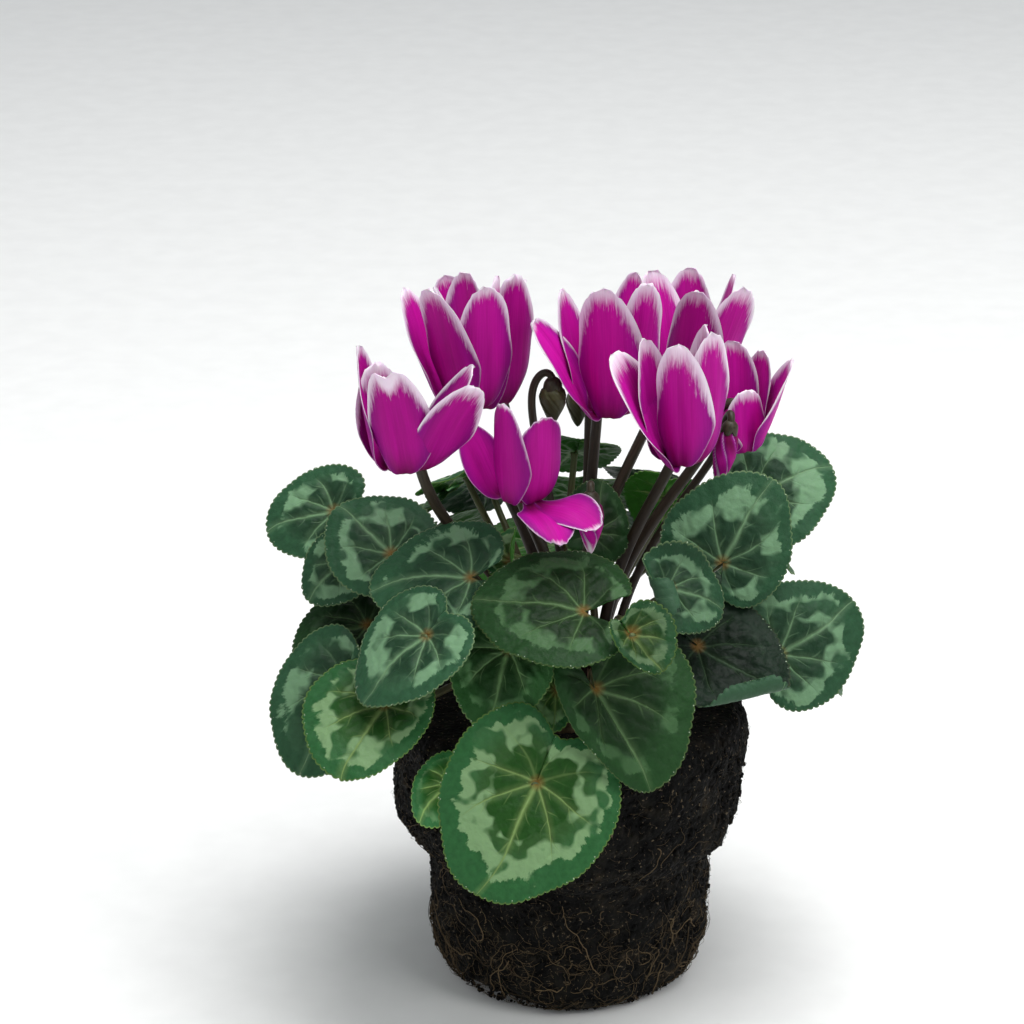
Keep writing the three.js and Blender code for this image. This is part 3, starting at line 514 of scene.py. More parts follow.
def corky_corm():
    """The corm's corky skin: grey-brown, scaly in patches 2 mm across, dry."""
    material, add = new_material("corky_corm")
    where = add("TexCoord", output="Object")
    scales = add("TexVoronoi", {"Vector": where, "Scale": 420})
    stains = add("TexNoise", {"Vector": where, "Scale": 150, "Detail": 5})
    stops = [(0.3, "#33271e"), (0.52, "#5a4534"), (0.72, "#7c6650")]
    tint = add("ValToRGB", {"Fac": stains}, stops=stops)
    relief = add("Math", (scales, -0.6, stains), **TIMES_PLUS)
    bump = add("Bump", {"Height": relief, "Strength": 0.8, "Distance": 0.001})
    skin = add(
        "BsdfPrincipled", {"Base Color": tint, "Roughness": 0.8, "IOR": 1.45, "Normal": bump},
    )
    add("OutputMaterial", {"Surface": skin})
    return material


def painted_floor():
    """A matt white studio floor, with the faint unevenness of rolled paint."""
    material, add = new_material("painted_floor")
    where = add("TexCoord", output="Object")
    roll = add("TexNoise", {"Vector": where, "Scale": 60, "Detail": 2})
    tint = add("ValToRGB", {"Fac": roll}, stops=[(0.3, "#eeeeec"), (0.7, "#f2f2f0")])
    skin = add("BsdfPrincipled", {"Base Color": tint, "Roughness": 0.85})
    add("OutputMaterial", {"Surface": skin})
    return material


# ---------------------------------------------------------------- shapes


def into_scene(name, data):
    """An object that shows a mesh, a lamp or a camera, in the scene."""
    made = bpy.data.objects.new(name, data)
    bpy.context.scene.collection.objects.link(made)
    return made


class Shape:
    """The points and faces of one piece as they are gathered, each point with its marks: the named
    values, such as its distance from the margin, that the materials paint by."""

    def __init__(self):
        self.points = []
        self.faces = []
        self.finishes = []
        self.marks = {}
        self.count = 0

    def add(self, points, faces, finish=0, **marks):
        """Adds points of any grid shape, and lists of faces that number them in reading order. A
        mark has a value or a triple for each point, or one number for all."""
        points = np.reshape(points, (-1, 3))
        for name, values in marks.items():
            values = np.asarray(values, float)
            wide = values.ndim > 0 and values.shape[-1] == 3
            full = (len(points), 3) if wide else (len(points),)
            flat = values.reshape(full) if values.size > 1 else np.full(full, float(values))
            self.marks.setdefault(name, []).append((self.count, flat))
        for group in faces:
            self.faces.append(np.asarray(group) + self.count)
            self.finishes.append(np.full(len(group), finish))
        self.points.append(points)
        self.count += len(points)

    def piece(self, name, materials, slot, *nodes):
        """Makes the piece, which rides on the plant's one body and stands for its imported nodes."""
        mesh = bpy.data.meshes.new(name)
        corners = np.concatenate([group.ravel() for group in self.faces])
        sizes = np.concatenate([np.full(len(g), g.shape[1]) for g in self.faces])
        mesh.vertices.add(self.count)
        mesh.vertices.foreach_set("co", (np.concatenate(self.points) * MM).ravel())
        mesh.loops.add(len(corners))
        mesh.loops.foreach_set("vertex_index", corners)
        mesh.polygons.add(len(sizes))
        mesh.polygons.foreach_set("loop_start", np.cumsum(sizes) - sizes)
        mesh.polygons.foreach_set("material_index", np.concatenate(self.finishes))
        for mark, entries in self.marks.items():
            wide = entries[0][1].ndim == 2
            values = np.zeros((self.count, 3) if wide else self.count)
            for start, part in entries:
                values[start:start + len(part)] = part
            layer = mesh.attributes.new(mark, "FLOAT_VECTOR" if wide else "FLOAT", "POINT")
            layer.data.foreach_set("vector" if wide else "value", values.ravel())
        mesh.update(calc_edges=True)
        mesh.validate()
        mesh.shade_smooth()
        for material in materials:
            mesh.materials.append(material)
        made = into_scene(name, mesh)
        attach(made, "root")
        if nodes:
            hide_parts(*nodes)


def circle(sides):
    """The angles of evenly spaced points round a circle."""
    return ROUND * np.arange(sides) / sides


def polar(radius, angle, height):
    """Points at radii and angles about +Z, and at heights."""
    ways = np.broadcast_arrays(radius * np.cos(angle), radius * np.sin(angle), height)
    return np.stack(ways, -1)


def grid(rows, columns, first=0, around=False):
    """The four-cornered faces of a grid of points, which closes on itself if it goes around."""
    numbers = np.arange(rows * columns).reshape(rows, columns) + first
    if around:
        numbers = np.hstack([numbers, numbers[:, :1]])
    corners = [numbers[:-1, :-1], numbers[:-1, 1:], numbers[1:, 1:], numbers[1:, :-1]]
    return np.stack(corners, -1).reshape(-1, 4)


def closed_skin(rows, sides):
    """The faces of a round skin, ring by ring, with a cap on its first ring and on its last."""
    ring = np.arange(sides)
    caps = np.array([ring[::-1], (rows - 1) * sides + ring])
    return [grid(rows, sides, around=True), caps]


def rim_faces(loop, behind):
    """The faces that join a loop of points to the same loop `behind` places later."""
    ahead = np.roll(loop, -1)
    return np.stack([loop, loop + behind, ahead + behind, ahead], -1)


def bezier(points, shares):
    """Points along a cubic curve, at shares of its parameter."""
    t = np.asarray(shares, float)[:, None]
    a, b, c, d = np.asarray(points, float)
    return (1 - t) ** 3 * a + 3 * (1 - t) ** 2 * t * b + 3 * (1 - t) * t * t * c + t ** 3 * d


def unit(vectors):
    """Vectors of the same directions, one long."""
    return vectors / np.maximum(np.linalg.norm(vectors, axis=-1, keepdims=True), 1e-9)


def spun(vectors, axis, angle):
    """Vectors turned by an angle about an axis."""
    return (
        vectors * np.cos(angle) + np.cross(axis, vectors) * np.sin(angle)
        + axis * (vectors * axis).sum(-1, keepdims=True) * (1 - np.cos(angle))
    )


def run_along(path):
    """The length of a path up to each of its points."""
    return np.concatenate([[0], np.cumsum(np.linalg.norm(np.diff(path, axis=0), axis=1))])


def tubes(paths, radii, sides):
    """Round rods along paths of equally many points, one radius a point: their rings and faces."""
    count, steps = paths.shape[:2]
    heading = unit(np.gradient(paths, axis=1))
    turns = circle(sides)
    across = np.cross(heading[:, 0], [0.36, -0.48, 0.8])
    rings = []
    for k in range(steps):
        along = heading[:, k]
        across = unit(across - along * (across * along).sum(1, keepdims=True))
        other = np.cross(along, across)
        ring = np.cos(turns)[None, :, None] * across[:, None]
        ring = ring + np.sin(turns)[None, :, None] * other[:, None]
        rings.append(paths[:, k, None] + radii[:, k, None, None] * ring)
    tube = steps * sides
    skin = np.concatenate([grid(steps, sides, n * tube, around=True) for n in range(count)])
    ring = np.arange(sides)
    ends = [n * tube + end for n in range(count) for end in (ring[::-1], tube - sides + ring)]
    return np.stack(rings, 1), [skin, np.array(ends)]


def add_stalk(shape, path, radii, finish, seed):
    """A stalk with its finish: `share` is the way along it, and `grain` makes it streaky."""
    points, faces = tubes(path[None], radii[None], STALK_SIDES)
    grain = polar(2.2, circle(STALK_SIDES), 0.12 * run_along(path)[:, None] + seed)
    share = np.repeat(np.linspace(0, 1, len(path)), STALK_SIDES)
    shape.add(points, faces, finish, share=share, grain=grain)


def draws(seed):
    """A source of random draws that is the same every time."""
    return np.random.default_rng(SEED + seed)


# ---------------------------------------------------------------- leaves


def foot_of(foot):
    """Where a stalk stands: on one of the corm's rings, at an azimuth in degrees."""
    ring, azimuth = foot
    return polar(ring * PIT_RING, math.radians(azimuth), CROWN_HEIGHT - PIT_DEPTH)


def outline_share(angle, lobes):
    """How far the outline stands from the stalk, as a share of the leaf's length, for angles in
    degrees from the tip: heart-shaped, with a notch at the stalk and smaller or larger lobes."""
    away = np.sqrt(angle ** 2 + 36) - 6
    tip = 0.34 * np.exp(-((away / 38) ** 1.5)) + 0.04 * np.exp(-(((away - 60) / 30) ** 2))
    notch = 0.27 * np.exp(-(((180 - np.abs(angle)) / 26) ** 2))
    return (0.66 + tip - notch) * (1 - (1 - lobes) / (1 + np.exp((125 - away) / 14)))


def blade_frame(face):
    """The directions of a blade: its normal, downhill, the way to its tip and to its side."""
    azimuth, elevation, turn = np.radians(face)
    away = polar(1, azimuth, 0)
    normal = away * math.cos(elevation) + UP * math.sin(elevation)
    downhill = away * math.sin(elevation) - UP * math.cos(elevation)
    tip = downhill * math.cos(turn) + np.cross(normal, downhill) * math.sin(turn)
    return normal, downhill, tip, np.cross(normal, tip)


def blade_height(leaf, along, across, angle):
    """The blade's height over its flat outline, all as shares of its length."""
    out = np.hypot(along, across)
    funnel = 0.08 * (1 - np.exp(-((out / 0.22) ** 2)))
    folded = leaf["fold"] * (np.sqrt(across ** 2 + 0.01) - 0.1)
    rolled = leaf["roll"] * 4 * np.maximum(across - 0.3, 0) ** 2
    bent = leaf["droop"] * np.maximum(along, 0) ** 2
    waved = leaf["wave"] * out ** 2 * np.sin(np.radians(3 * angle + leaf["phase"]))
    return funnel + folded + rolled - leaf["cup"] * out ** 2 - bent + waved


def seen_gap(leaf):
    """Half the angle of the notch between a leaf's lobes, below zero where they overlap."""
    return -6 if leaf["gap"] <= 12 else 0.85 * leaf["gap"]


def margin_angles(leaf):
    """Angles from the tip at even steps along the margin, from one side of the notch to the
    other, with equally many for each tooth."""
    first = -(180 - seen_gap(leaf))
    fine = np.linspace(first, -first, 1441)
    reach = outline_share(fine, leaf["lobes"]) * leaf["length"]
    x, y = reach * np.cos(np.radians(fine)), reach * np.sin(np.radians(fine)) * leaf["wide"]
    run = np.concatenate([[0], np.cumsum(np.hypot(np.diff(x), np.diff(y)))])
    teeth = max(round(run[-1] / TOOTH_PITCH), 12)
    return np.interp(np.linspace(0, run[-1], teeth * TOOTH_POINTS + 1), run, fine)


def vein_fan(angle, share, chance):
    """A number that is whole on each vein, 0 on the middle one, and the radians from vein to vein.
    The veins stand 40 to 50 degrees apart, sway a little and bend towards the tip further out."""
    jitter = chance.uniform(-5, 5, len(VEIN_ANGLES))
    places = np.concatenate([[-VEIN_END], VEIN_ANGLES + jitter, [VEIN_END]])
    middle = len(places) // 2
    places[middle] *= 0.3
    numbers = np.arange(len(places)) - middle
    fine = np.arange(-260, 261, 1.0)
    steps = np.interp(fine, places, numbers)
    past = np.abs(fine) > VEIN_END
    steps[past] += (fine[past] - VEIN_END * np.sign(fine[past])) / 40
    steps[10:-10] = np.convolve(steps, np.full(21, 1 / 21), "valid")
    bent = angle * (1 + 0.17 * share)
    fan = np.interp(bent, fine, steps)
    pitch = np.radians(1 / np.interp(bent, fine, np.gradient(steps, fine)))
    sway = 0.09 * share * np.sin(5.5 * share + 2.1 * fan + chance.uniform(0, 6.28))
    return fan + sway, pitch


def add_blade(shape, leaf, axes, seed):
    """The blade of a leaf: two faces over one grid of rays from the stalk and rings round it,
    bulging between sunk veins, with a margin of fine rounded teeth."""
    normal, _, tip, side = axes
    length = leaf["length"]
    angles = margin_angles(leaf)
    rings = LEAF_RINGS if length > SMALL_LEAF else SMALL_LEAF_RINGS
    shares = np.linspace(0, 1, rings + 1)[1:] ** 0.8
    chance = draws(seed)
    sway = chance.uniform(0, 6.28, 6)

    angle, share = np.meshgrid(angles, shares)
    run = np.arange(len(angles)) / TOOTH_POINTS
    tooth = np.abs(np.sin(np.pi * run)) ** 0.8 - 0.75
    uneven = 1 + 0.35 * np.sin(run * 1.7 + sway[0]) * np.sin(run * 0.61 + sway[1])
    outline = outline_share(angle, leaf["lobes"]) * length
    outline = outline * (1 + 0.018 * np.sin(run * 0.42 + sway[2]) * np.sin(run * 0.17 + sway[3]))
    reach = outline * share + TOOTH_DEPTH * tooth * uneven * share ** 9 - 0.2 * share ** 9
    turn = np.radians(angle)
    lop = 1 - np.sign(np.sin(turn)) * leaf["lop"]
    along = reach * np.cos(turn)
    across = reach * np.sin(turn) * leaf["wide"] * lop

    # The veins are sunk half a millimetre between soft bulges, the skin between them is quilted,
    # and the margin is lightly crimped.
    fan, pitch = vein_fan(angle, share, chance)
    off = (fan + 0.5) % 1 - 0.5
    beside = reach * np.abs(np.sin(off * pitch))
    shown = np.where(np.abs(fan) < 0.45, 1.0 - 0.5 * share, np.clip((0.9 - share) / 0.3, 0, 1))
    trough = -VEIN_SINK * np.exp(-((beside / 1.1) ** 2)) * shown * np.clip(reach / 4, 0, 1)
    bulge = VEIN_BULGE * (1 - np.exp(-((beside / 4.0) ** 2))) * share * (1.15 - share)
    quilt = 0.28 * np.sin(along * 1.05 + 1.3 * np.sin(across * 0.7 + sway[4]))
    quilt = quilt * np.sin(across * 0.95 + 1.1 * np.sin(along * 0.8 + sway[5]))
    quilt = quilt * np.sin(np.pi * share)
    ripple = 0.5 * share ** 5 * np.sin(0.75 * run + sway[2]) * np.sin(0.23 * run + sway[0])
    lobe = np.clip((np.abs(angle) - 150) / 30, 0, 1) * np.sign(angle)
    overlap = 0.55 * lobe * (seen_gap(leaf) < 0)
    height = blade_height(leaf, along / length, across / length, angle) * length
    height = height + trough + bulge + quilt + ripple + overlap

    # A curled side winds back over a round of a few millimetres and shows its underside: `curl` is
    # its direction from the tip in degrees, the share of the length where it starts, and a radius.
    if "curl" in leaf:
        towards, start, radius = leaf["curl"]
        way = polar(1, math.radians(towards), 0)
        past = along * way[0] + across * way[1] - start * length
        wound = np.minimum(CURL_HASTE * np.maximum(past, 0) / radius, CURL_MOST)
        move = np.where(past > 0, radius * np.sin(wound) - past, 0)
        along = along + move * way[0]
        across = across + move * way[1]
        height = height + radius * (1 - np.cos(wound))

    rows, columns = angle.shape
    centre = np.array(leaf["at"], float)
    middle = centre + along[..., None] * tip + across[..., None] * side + height[..., None] * normal
    facing = unit(np.cross(np.gradient(middle, axis=0), np.gradient(middle, axis=1)))
    half = BLADE_HALF_THICKNESS * (1 - 0.6 * share ** 6)

    # Each face is its grid and a point over the stalk, whose marks are the second of each pair.
    size = rows * columns + 1
    points = []
    for sign in (1, -1):
        skin = (middle + sign * half[..., None] * facing).reshape(-1, 3)
        points += [skin, [centre + sign * BLADE_HALF_THICKNESS * normal]]
    own = np.full_like(along, seed)
    paired = {
        "fan": (fan, 0), "pitch": (pitch, 0.6), "out": (reach, 0), "share": (share, 0),
        "rim": ((1 - share) * outline, 20),
        "flat": (np.stack([along, across, 37 * own], -1), (0, 0, 37 * seed)),
        "radial": (np.stack([angle * 0.16, reach * 0.16, 11 * own], -1), (0, 0, 11 * seed)),
    }
    marks = {
        name: np.vstack([values.reshape(size - 1, -1), np.atleast_2d(last)] * 2)
        for name, (values, last) in paired.items()
    }
    numbers = np.arange(size - 1).reshape(rows, columns)
    last = np.full(columns - 1, size - 1)
    fan = np.stack([last, numbers[0, :-1], numbers[0, 1:]], -1)
    sheet = grid(rows, columns)[:, ::-1]
    loop = np.concatenate([last[:1], numbers[:, 0], numbers[-1, 1:], numbers[:-1, -1][::-1]])
    behind = [sheet[:, ::-1] + size, fan[:, ::-1] + size]
    # The blade carries its leaf's brightness, which is partly its own tone and partly painted shade
    # or painted light, and the strength of its silver.
    shape.add(
        np.vstack(points), [sheet, fan, *behind, rim_faces(loop, size)],
        back=np.repeat([0, 1], size), shade=leaf["shade"], silver=leaf["silver"], **marks,
    )


def leaf_stalk_path(leaf, axes):
    """The stalk's middle line, from its pit up and over to the back of the blade."""
    normal, downhill, tip, _ = axes
    foot = foot_of(leaf["foot"])
    lean = polar(leaf["lean"], math.radians(leaf["foot"][1]), leaf["rise"])
    end = np.array(leaf["at"], float) + tip * STALK_INSET
    behind = end - normal * leaf["back"] - downhill * leaf["lift"]
    return bezier([foot, foot + lean, behind, end], np.linspace(0, 1, LEAF_STALK_STEPS))


def make_leaves(blades, stalk):
    """Every leaf of the plant, its blade and its stalk as one piece."""
    for seed, (name, row) in enumerate(LEAVES.items()):
        leaf = {**LEAF_DEFAULTS, **dict(zip(LEAF_KEYS, row))}
        leaf.update(*row[len(LEAF_KEYS):])
        axes = blade_frame(leaf["face"])
        shape = Shape()
        add_blade(shape, leaf, axes, seed)
        path = leaf_stalk_path(leaf, axes)
        t = np.linspace(0, 1, len(path))
        radii = LEAF_STALK_RADIUS * (1.05 - 0.2 * t + 0.25 * np.exp(-((1 - t) / 0.02) ** 2))
        add_stalk(shape, path, radii, 1, seed)
        tone = leaf["tone"]
        shape.piece(f"leaf_{name}_grown", [blades[tone], stalk], f"leaf_{tone}", f"leaf_{name}")


# ---------------------------------------------------------------- blooms and buds


def hanging_frame(flower):
    """A flower's own frame, its axis tipped a little from upright: how it turns a local point."""
    towards, degrees = np.radians(flower["tip"])
    hinge = Vector((-math.sin(towards), math.cos(towards), 0))
    turn = np.array(Matrix.Rotation(degrees, 3, hinge))
    mouth = np.array(flower["mouth"], float)
    return lambda local: np.asarray(local, float) @ turn.T + mouth


def hooked_stalk_path(flower, reach, height):
    """The middle line of a flower stalk, which rises beside its flower and hooks over into it."""
    frame_of = hanging_frame(flower)
    azimuth = math.radians(flower["side"])

    def place(out, up):
        return frame_of(polar(out, azimuth, up))

    foot = foot_of(flower["foot"])
    start = place(reach, height - HOOK_DROP)
    climb = np.linalg.norm(foot - start)
    from_foot, from_hook = flower.get("climb", (0.5, 0.15))
    below_hook = place(reach, height - HOOK_DROP - from_hook * climb)
    stem = [foot, foot + UP * from_foot * climb, below_hook, start]
    over_hook = [place(reach, height + HOOK_DROP), place(0, height + HOOK_DROP + 2)]
    hook = [start, *over_hook, place(0, height + 0.8)]
    stem = bezier(stem, np.linspace(0, 1, STEM_STEPS))
    return np.vstack([stem, bezier(hook, np.linspace(0, 1, HOOK_STEPS))[1:]])


def petal_half_width(share):
    """Half a petal's width: narrow at the throat, widest past the middle, blunt at the tip."""
    lower = 2 * (1 - share) + PETAL_HALF_WIDTH * np.sin(np.pi * share ** 1.8) + 1.6 * share
    past = np.clip((share - PETAL_WIDEST) / (1 - PETAL_WIDEST), 0, 1)
    upper = PETAL_TIP_WIDTH * np.maximum(1 - past ** 1.9, 0) ** 0.5
    return PETAL_BREADTH * np.where(share < PETAL_WIDEST, lower, upper)


def add_petal(shape, bloom, petal, seed, white, heart):
    """One petal, which leaves the mouth downwards, turns back and climbs, bent round the axis."""
    azimuth, leaning, size, sweep, breadth, twist = petal
    frame_of = hanging_frame(bloom)
    length = bloom["length"] * size
    lean = math.radians(leaning)
    # Rows crowd towards the tip and columns towards the edges. The middle line dips below the mouth
    # before it climbs.
    shares = np.linspace(0, 1, PETAL_ROWS)
    shares = 0.35 * shares + 0.65 * (1 - (1 - shares) ** 1.7)
    steps = np.sin(np.linspace(-1, 1, PETAL_COLUMNS) * np.pi / 2)
    ends = [
        (4.2, 1.6, 0), (8.4, -4.5, 0),
        (8.5 + 0.5 * length * math.sin(0.6 * lean), 0.45 * length * math.cos(0.6 * lean), 0),
        (7.5 + length * math.sin(lean), length * math.cos(lean), 0),
    ]
    line = bezier(ends, shares)
    heading = unit(np.gradient(line, shares, axis=0))
    column, share = np.meshgrid(steps, shares)
    across = petal_half_width(share) * column * breadth
    middle, rise = line[:, :1], line[:, 1:2]
    bend = middle + 0.8 + 6 * share
    spiral = PETAL_SPIRAL * np.minimum(1, 3 * share)
    turn = math.radians(bloom["side"] + 180 + azimuth)
    out = polar(1, turn + across / bend, 0)
    outwards = polar(1, turn, 0)
    sideways = np.cross(UP, outwards)
    along = out * heading[:, None, :1] + UP * heading[:, None, 1:2]
    face = unit(np.cross(np.cross(UP, out) + out * spiral[..., None], along))
    rising = unit(outwards * heading[:, :1] + UP * heading[:, 1:2])[:, None]
    twisted = (math.radians(twist) * (1 - (1 - share) ** 2))[..., None]
    points = out * (bend + spiral * across)[..., None] - outwards * bend[..., None]
    points, along, face = (spun(vectors, rising, twisted) for vectors in (points, along, face))
    points = (
        points + outwards * middle[..., None]
        + UP * np.broadcast_to(rise, share.shape)[..., None]
        + sideways * (sweep * length * share ** 2)[..., None]
    )

    # A crease down the middle, fine folds that fan out of the throat, and edges that ruffle.
    chance = draws(PETAL_SEED + seed)
    phase = chance.uniform(0, 6.28, 6)
    crease = -0.5 * np.exp(-((across / 1.3) ** 2)) * np.sin(np.pi * np.minimum(share * 1.1, 1))
    folds = 0.14 * np.sin(column * 9 + phase[0] + 1.5 * share) * np.sin(np.pi * share)
    ruffle = (
        0.75 * np.abs(column) ** 3 * share ** 1.5 * (1 - share ** 6)
        * np.sin(share * length * 0.42 + phase[1] + (column > 0) * phase[2])
    )
    tip_curl = (
        0.5 * np.maximum(share - 0.72, 0) * 3.5 * np.sin(column * 2.4 + phase[3])
        + 0.8 * math.sin(phase[4]) * np.maximum(share - 0.8, 0) ** 2 * 10
    )
    lift = (crease + folds + ruffle + tip_curl)[..., None]
    half = PETAL_HALF_THICKNESS * np.sqrt(np.maximum(1 - np.abs(column) ** 6, 0.12))[..., None]
    notch = (
        0.35 * np.sin(across * 2.1 + phase[5]) + 0.22 * np.sin(across * 4.7 + phase[1])
    ) * np.maximum(share - 0.9, 0) * 10
    dent = heart * np.exp(-((across / 2.6) ** 2)) * np.maximum(share - 0.72, 0) / 0.28
    points = points + along * (notch - dent)[..., None]
    faces = [frame_of(points + face * (lift + half)), frame_of(points + face * (lift - half))]

    size = PETAL_ROWS * PETAL_COLUMNS
    numbers = np.arange(size).reshape(PETAL_ROWS, PETAL_COLUMNS)
    loop = np.concatenate(
        [numbers[0], numbers[1:, -1], numbers[-1, -2::-1], numbers[-2:0:-1, 0]]
    )
    sheet = grid(PETAL_ROWS, PETAL_COLUMNS)
    rim = np.minimum(
        petal_half_width(share) * breadth - np.abs(across), (1 - share) * length - dent,
    )
    grain = np.stack([across * 2.0, share * length * 0.09, np.full_like(across, 13.0 * seed)], -1)
    marks = dict(share=share, rim=rim, side=np.abs(column), grain=grain)
    # Each point carries the bloom's brightness as its depth mark, which is painted shade or painted
    # light.
    shape.add(
        faces, [sheet, sheet[:, ::-1] + size, rim_faces(loop, size)[:, ::-1]],
        white=white, depth=bloom.get("shade", 1),
        **{name: np.stack([values, values]) for name, values in marks.items()},
    )


def add_tube(shape, bloom, seed):
    """The short tube the petals spring from, with a lip round its mouth and five soft ribs."""
    profile = np.array([
        (3.5, 6.9), (3.5, 2.2), (3.7, 1.2), (4.1, 0.6), (4.7, 0.6), (5.2, 1.2), (5.2, 3.0),
        (5.1, 5.0), (4.9, 6.6), (4.3, 7.4), (3.6, 7.4), (3.5, 6.9),
    ])
    turns = circle(FLOWER_SIDES)
    points = polar(profile[:, :1], turns, profile[:, 1:])
    points[..., :2] *= (1 + 0.035 * np.cos(5 * turns))[:, None]
    shape.add(
        hanging_frame(bloom)(points), [grid(len(profile), FLOWER_SIDES, around=True)],
        share=0, rim=9, side=0, white=0, depth=1, grain=points * (2, 2, 0.3) + (0, 0, seed),
    )


def add_calyx(shape, frame_of, bottom, radius, seed):
    """A calyx of five pointed sepals that clasp the top of a flower or bud."""
    rows = 12
    turns = circle(FLOWER_SIDES)
    lobe = np.abs(np.sin(2.5 * turns))
    shares = np.linspace(0, 1, rows)[:, None]
    edge = bottom - 0.9 + 1.5 * (1 - lobe) ** 1.4
    top = bottom + CALYX_HEIGHT
    height = edge + (top - edge) * shares
    girth = radius * (1.04 - 0.08 * (1 - lobe)) * np.sqrt(np.maximum(1 - (shares * 0.93) ** 2.6, 0))
    inner = polar(girth - 0.5, turns, height - 0.1 * (1 - shares))
    points = np.vstack([inner[::-1], polar(girth, turns, height)])
    shape.add(
        frame_of(points), closed_skin(2 * rows, FLOWER_SIDES),
        share=0.9, grain=points * (2, 2, 0.4) + (0, 0, seed),
    )


def add_drop(shape, frame_of, bud, finish, seed):
    """A furled bud, point down: petals twisted round each other, their edges in five grooves."""
    rows = 48
    turns = circle(FLOWER_SIDES)
    shares = np.linspace(0, 1, rows)[:, None]
    girth = bud["radius"] * np.interp(
        shares, [0, 0.03, 0.1, 0.2, 0.4, 0.6, 0.75, 0.9, 1],
        [0.03, 0.16, 0.3, 0.47, 0.76, 0.95, 1, 0.86, 0.6],
    )
    wrap = (5 * (turns + 2.4 * shares) / ROUND) % 1
    girth = girth * (0.94 + 0.1 * wrap - 0.1 * np.exp(-((wrap / 0.1) ** 2)))
    along = shares * bud["length"]
    grain = [wrap * 8, along * 0.1 + 0 * wrap, np.full_like(wrap, 17.0 * seed)]
    shape.add(
        frame_of(polar(girth, turns, along)), closed_skin(rows, FLOWER_SIDES), finish,
        share=1 - np.broadcast_to(shares, wrap.shape),
        rim=np.minimum(wrap, 1 - wrap) * girth * 1.25, side=np.abs(2 * wrap - 1),
        white=0.25, depth=1, grain=np.stack(grain, -1),
    )


def make_blooms(petal, stalk):
    """Each bloom's petals with their tube as one piece, and its stalk with its calyx as another."""
    for number, (name, bloom) in enumerate(BLOOMS.items()):
        shape = Shape()
        add_tube(shape, bloom, number)
        chance = draws(WHITE_SEED + number)
        for index, row in enumerate(bloom["petals"]):
            white = bloom.get("white", 1) * chance.uniform(0.35, 1)
            heart = bloom.get("heart", 0) if index == 0 else 0
            add_petal(shape, bloom, row, 5 * number + index, white, heart)
        shape.piece(f"bloom_{name}_corolla", [petal], "petal", f"bloom_{name}_petals")

        shape = Shape()
        path = hooked_stalk_path(bloom, HOOK_REACH, TUBE_HEIGHT + 2)
        radii = FLOWER_STALK_RADIUS * (1.04 - 0.16 * np.linspace(0, 1, len(path)))
        add_stalk(shape, path, radii, 0, FLOWER_STREAKS + number)
        add_calyx(shape, hanging_frame(bloom), TUBE_HEIGHT + CALYX_GAP, TUBE_RADIUS, number)
        shape.piece(f"bloom_{name}_stem", [stalk], "stalk", f"bloom_{name}_stalk")


def make_buds(petal, stalk, furled):
    """The four buds: two green ones that are one piece with their stalks, and two pink ones."""
    for number, (name, bud) in enumerate(BUDS.items()):
        frame_of = hanging_frame(bud)
        seat = bud["length"] + (CALYX_GAP if bud["pink"] else -CALYX_GAP)
        path = hooked_stalk_path(bud, BUD_REACH, seat + 0.4)
        radii = BUD_STALK_RADIUS * (1.1 - 0.2 * np.linspace(0, 1, len(path)))
        stem = Shape()
        add_stalk(stem, path, radii, 0, BUD_STREAKS + number)
        add_calyx(stem, frame_of, seat, 0.7 * bud["radius"], number)
        if bud["pink"]:
            stem.piece(f"bud_{name}_stem", [stalk], "stalk", f"bud_{name}_stalk")
            drop = Shape()
            add_drop(drop, frame_of, bud, 0, number)
            drop.piece(f"bud_{name}_furled", [petal], "petal", f"bud_{name}_petals")
        else:
            add_drop(stem, frame_of, bud, 1, number)
            stem.piece(f"bud_{name}_grown", [stalk, furled], "bud", f"bud_{name}")


# ---------------------------------------------------------------- the corm and the root ball


def make_corm(cork):
    """The corm: a squat tuber half sunk in the peat, lumpy and corky, flat at its crown."""
    down = np.linspace(0, np.pi / 2, 14)
    under = np.stack([CORM_RADIUS * np.sin(down), CORM_MIDDLE - 10 * np.cos(down)], 1)
    over = np.linspace(0, 1, 14)[1:, None]
    shoulder = np.hstack([
        CORM_RADIUS - 3.4 * over ** 2.2, CORM_MIDDLE + (CROWN_HEIGHT - CORM_MIDDLE) * np.sqrt(over),
    ])
    crown = np.stack([np.linspace(CROWN_RADIUS - 1.5, 0.02, 16), np.full(16, CROWN_HEIGHT)], 1)
    profile = np.vstack([under[1:], shoulder, crown])
    sides = 120
    turns = circle(sides)
    points = polar(profile[:, :1], turns, profile[:, 1:])
    lumps = 0.5 * np.sin(5 * turns + points[..., 2] / 3) + 0.35 * np.sin(9 * turns - points[..., 2])
    fade = np.clip((np.hypot(points[..., 0], points[..., 1]) - 4) / 20, 0, 1)
    points[..., :2] *= (1 + lumps * fade / 40)[..., None]
    shape = Shape()
    shape.add(points, closed_skin(len(profile), sides))
    shape.piece("corm_grown", [cork], "corm", "corm")


def worn_by(angle, height):
    """How far the plug's worn side stands proud of its turned shape, as in the part's source."""
    edges = np.clip(np.minimum(height / 6, (BALL_HEIGHT - height) / 3), 0, 1)
    lumps = (
        0.7 * np.sin(3 * angle + height / 11) + 0.5 * np.sin(7 * angle - height / 7)
        + 0.4 * np.sin(11 * angle + height / 4)
    )
    return edges * lumps


def side_radius(angle, height):
    """The radius of the plug's side at an angle and a height, lumps and all."""
    radii, heights = np.array(BALL_PROFILE, float).T
    return np.interp(height, heights, radii) + worn_by(angle, height)


def clods(points, spread, depth, seed):
    """Peat clods as a height at each point, in millimetres: `spread` is their size."""
    shift = Vector((seed, 0, 0))
    places = (Vector(point) / spread + shift for point in points.reshape(-1, 3))
    heights = np.array([noise.fractal(place, 0.6, 2.1, 4) for place in places])
    return depth * heights.reshape(points.shape[:-1])


